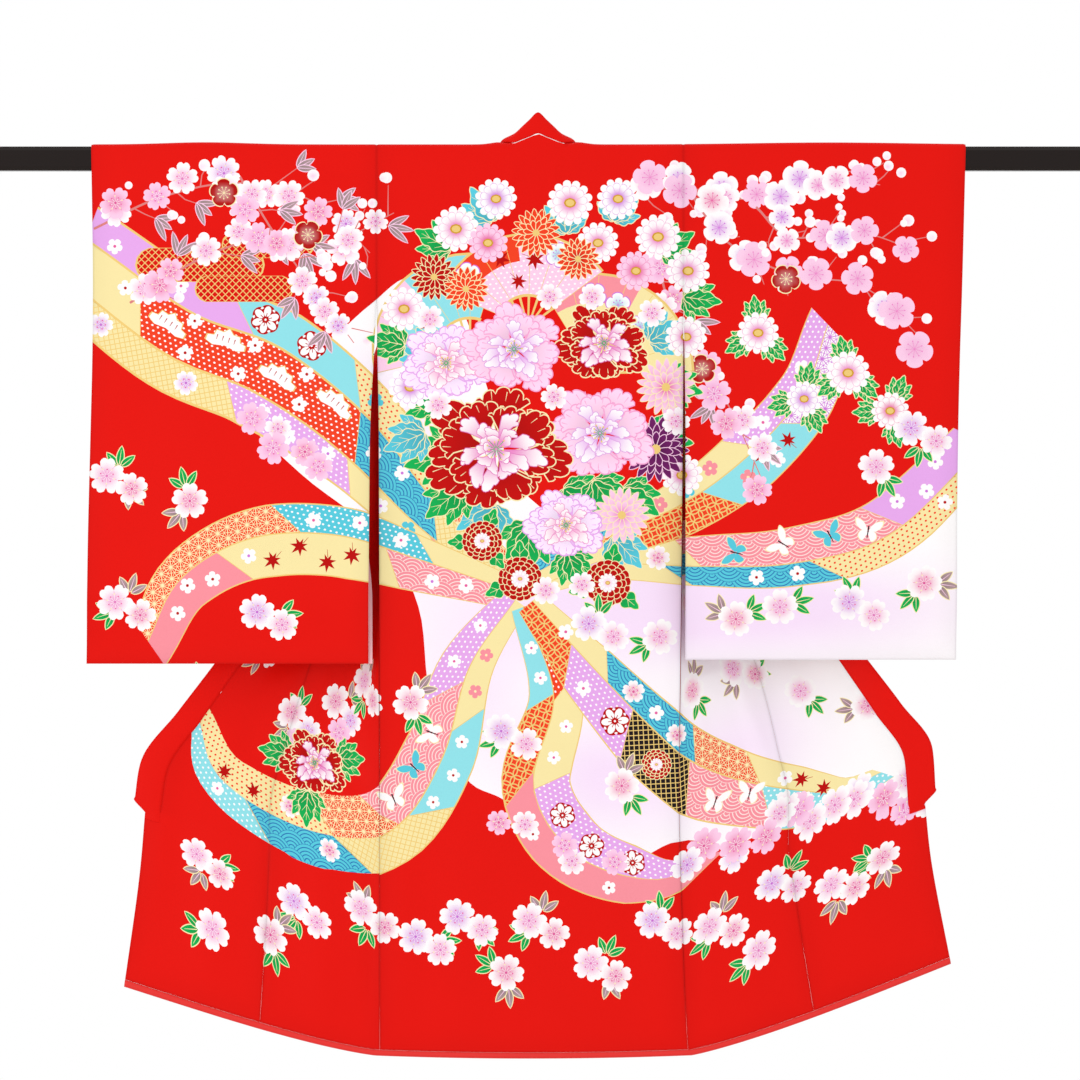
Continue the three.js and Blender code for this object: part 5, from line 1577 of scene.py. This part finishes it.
SLEEVE_FOLDS = {
    -1: ((-240, 60, -232, 500, 40, 1.0), (-330, 200, -345, 520, 46, 1.2), (-168, 180, -172, 500, 7, 0.9),
         (-420, 120, -424, 500, 26, 0.9)),
    1: ((250, 60, 240, 500, 42, 1.0), (340, 200, 352, 520, 46, 1.2), (164, 180, 168, 500, 7, 0.9),
        (410, 120, 408, 500, 26, 0.9)),
}
for side, word in BOTH_SIDES:
    length = SLEEVE_END[side]

    def sleeve_place(flat, side=side, length=length):
        x, down = flat[:, 0], abs(flat[:, 1])
        near = flat[:, 1] >= 0
        depth, z = over_bar(down)
        closed = smooth(length - 75, length - 1.7, down)
        ending = smooth(length - 5, length, down)
        depth = depth + (1.55 - 0.75 * ending - depth) * closed
        folded = flat * (1, 1)
        folded[:, 1] = down
        depth = depth + creased(folded, SLEEVE_FOLDS[side]) * (1 - closed)
        return np.stack([x, np.where(near, -depth, depth), z + hump(x, down)], axis=1)

    def inner_edge(along, side=side):
        down = abs(np.asarray(along, float))
        near, back = read(SLEEVE[side], NEAR_EDGE, down), read(SLEEVE[side], FAR_EDGE, down)
        return side * np.where(np.asarray(along) >= 0, near, back)

    def outer_edge(along, side=side):
        return side * read(SLEEVE[side], OUTER_EDGE, abs(np.asarray(along, float)))

    left, right = (outer_edge, inner_edge) if side < 0 else (inner_edge, outer_edge)
    rows = spread((15, 60, 3), (60, length - 75, 6), (length - 75, length - 4, 4), (length - 4, length, 1))
    top_rows = np.arange(-14.1, 14.5, 0.94)
    rows = np.concatenate([-rows[::-1], top_rows, rows])
    piece = lay_cloth(
        "kimono_sleeve_" + word, lattice(rows, left, right, 6.5), sleeve_place, -1, same, same,
        from_edges(left, right, length),
    )
    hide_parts("sleeve_" + word)

# ---- Hem roll ----------------------------------------------------------------------------------------
# The red lining's edge, rolled out over a thin wadding so that it shows below the silk all round the hem.
ROLL_MIDDLE, ROLL_HIGH, ROLL_DEEP = 918.0, 3.0, 1.7
turns = np.arange(12) * 2 * math.pi / 12
fronts = []
for side in (-1, 1):
    width = float(edge_of(side, WIDTH, BODY_LENGTH))
    shares = np.linspace(1, 0, 91)[:-1]
    fronts.append([(front_laid(side), -side, share * width) for share in shares])
across = np.linspace(back_edge(-1)(BODY_LENGTH), back_edge(1)(BODY_LENGTH), 81)
columns = fronts[0] + [(back_laid, -1, float(x)) for x in across] + fronts[1][::-1]
rings_made = []
for place, sign, x in columns:
    down = ROLL_MIDDLE + ROLL_HIGH * np.cos(turns)
    spots = place(np.stack([np.full(12, x), down], axis=1))
    n = facing(place, np.array([(x, ROLL_MIDDLE)]), sign)[0]
    rings_made.append(spots + n * (ROLL_DEEP * np.sin(turns))[:, None])
tube = np.array(rings_made)
count = len(tube)
number = np.arange(count * 12).reshape(count, 12)
after = np.roll(number, -1, axis=1)
faces = np.stack([number[:-1].ravel(), number[1:].ravel(), after[1:].ravel(), after[:-1].ravel()],
                 axis=1).tolist()
faces += [number[0].tolist(), number[-1][::-1].tolist()]
run = np.concatenate([[0], np.cumsum(np.linalg.norm(np.diff(tube.mean(1), axis=0), axis=1))])
spots = np.stack([np.tile(np.arange(12) * 1.25, count), np.repeat(run, 12)], axis=1)
roll = closed_piece("kimono_hem_roll", tube.reshape(-1, 3), faces, spots, RED_LINING)
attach(roll, "root")
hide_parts("hem_roll")
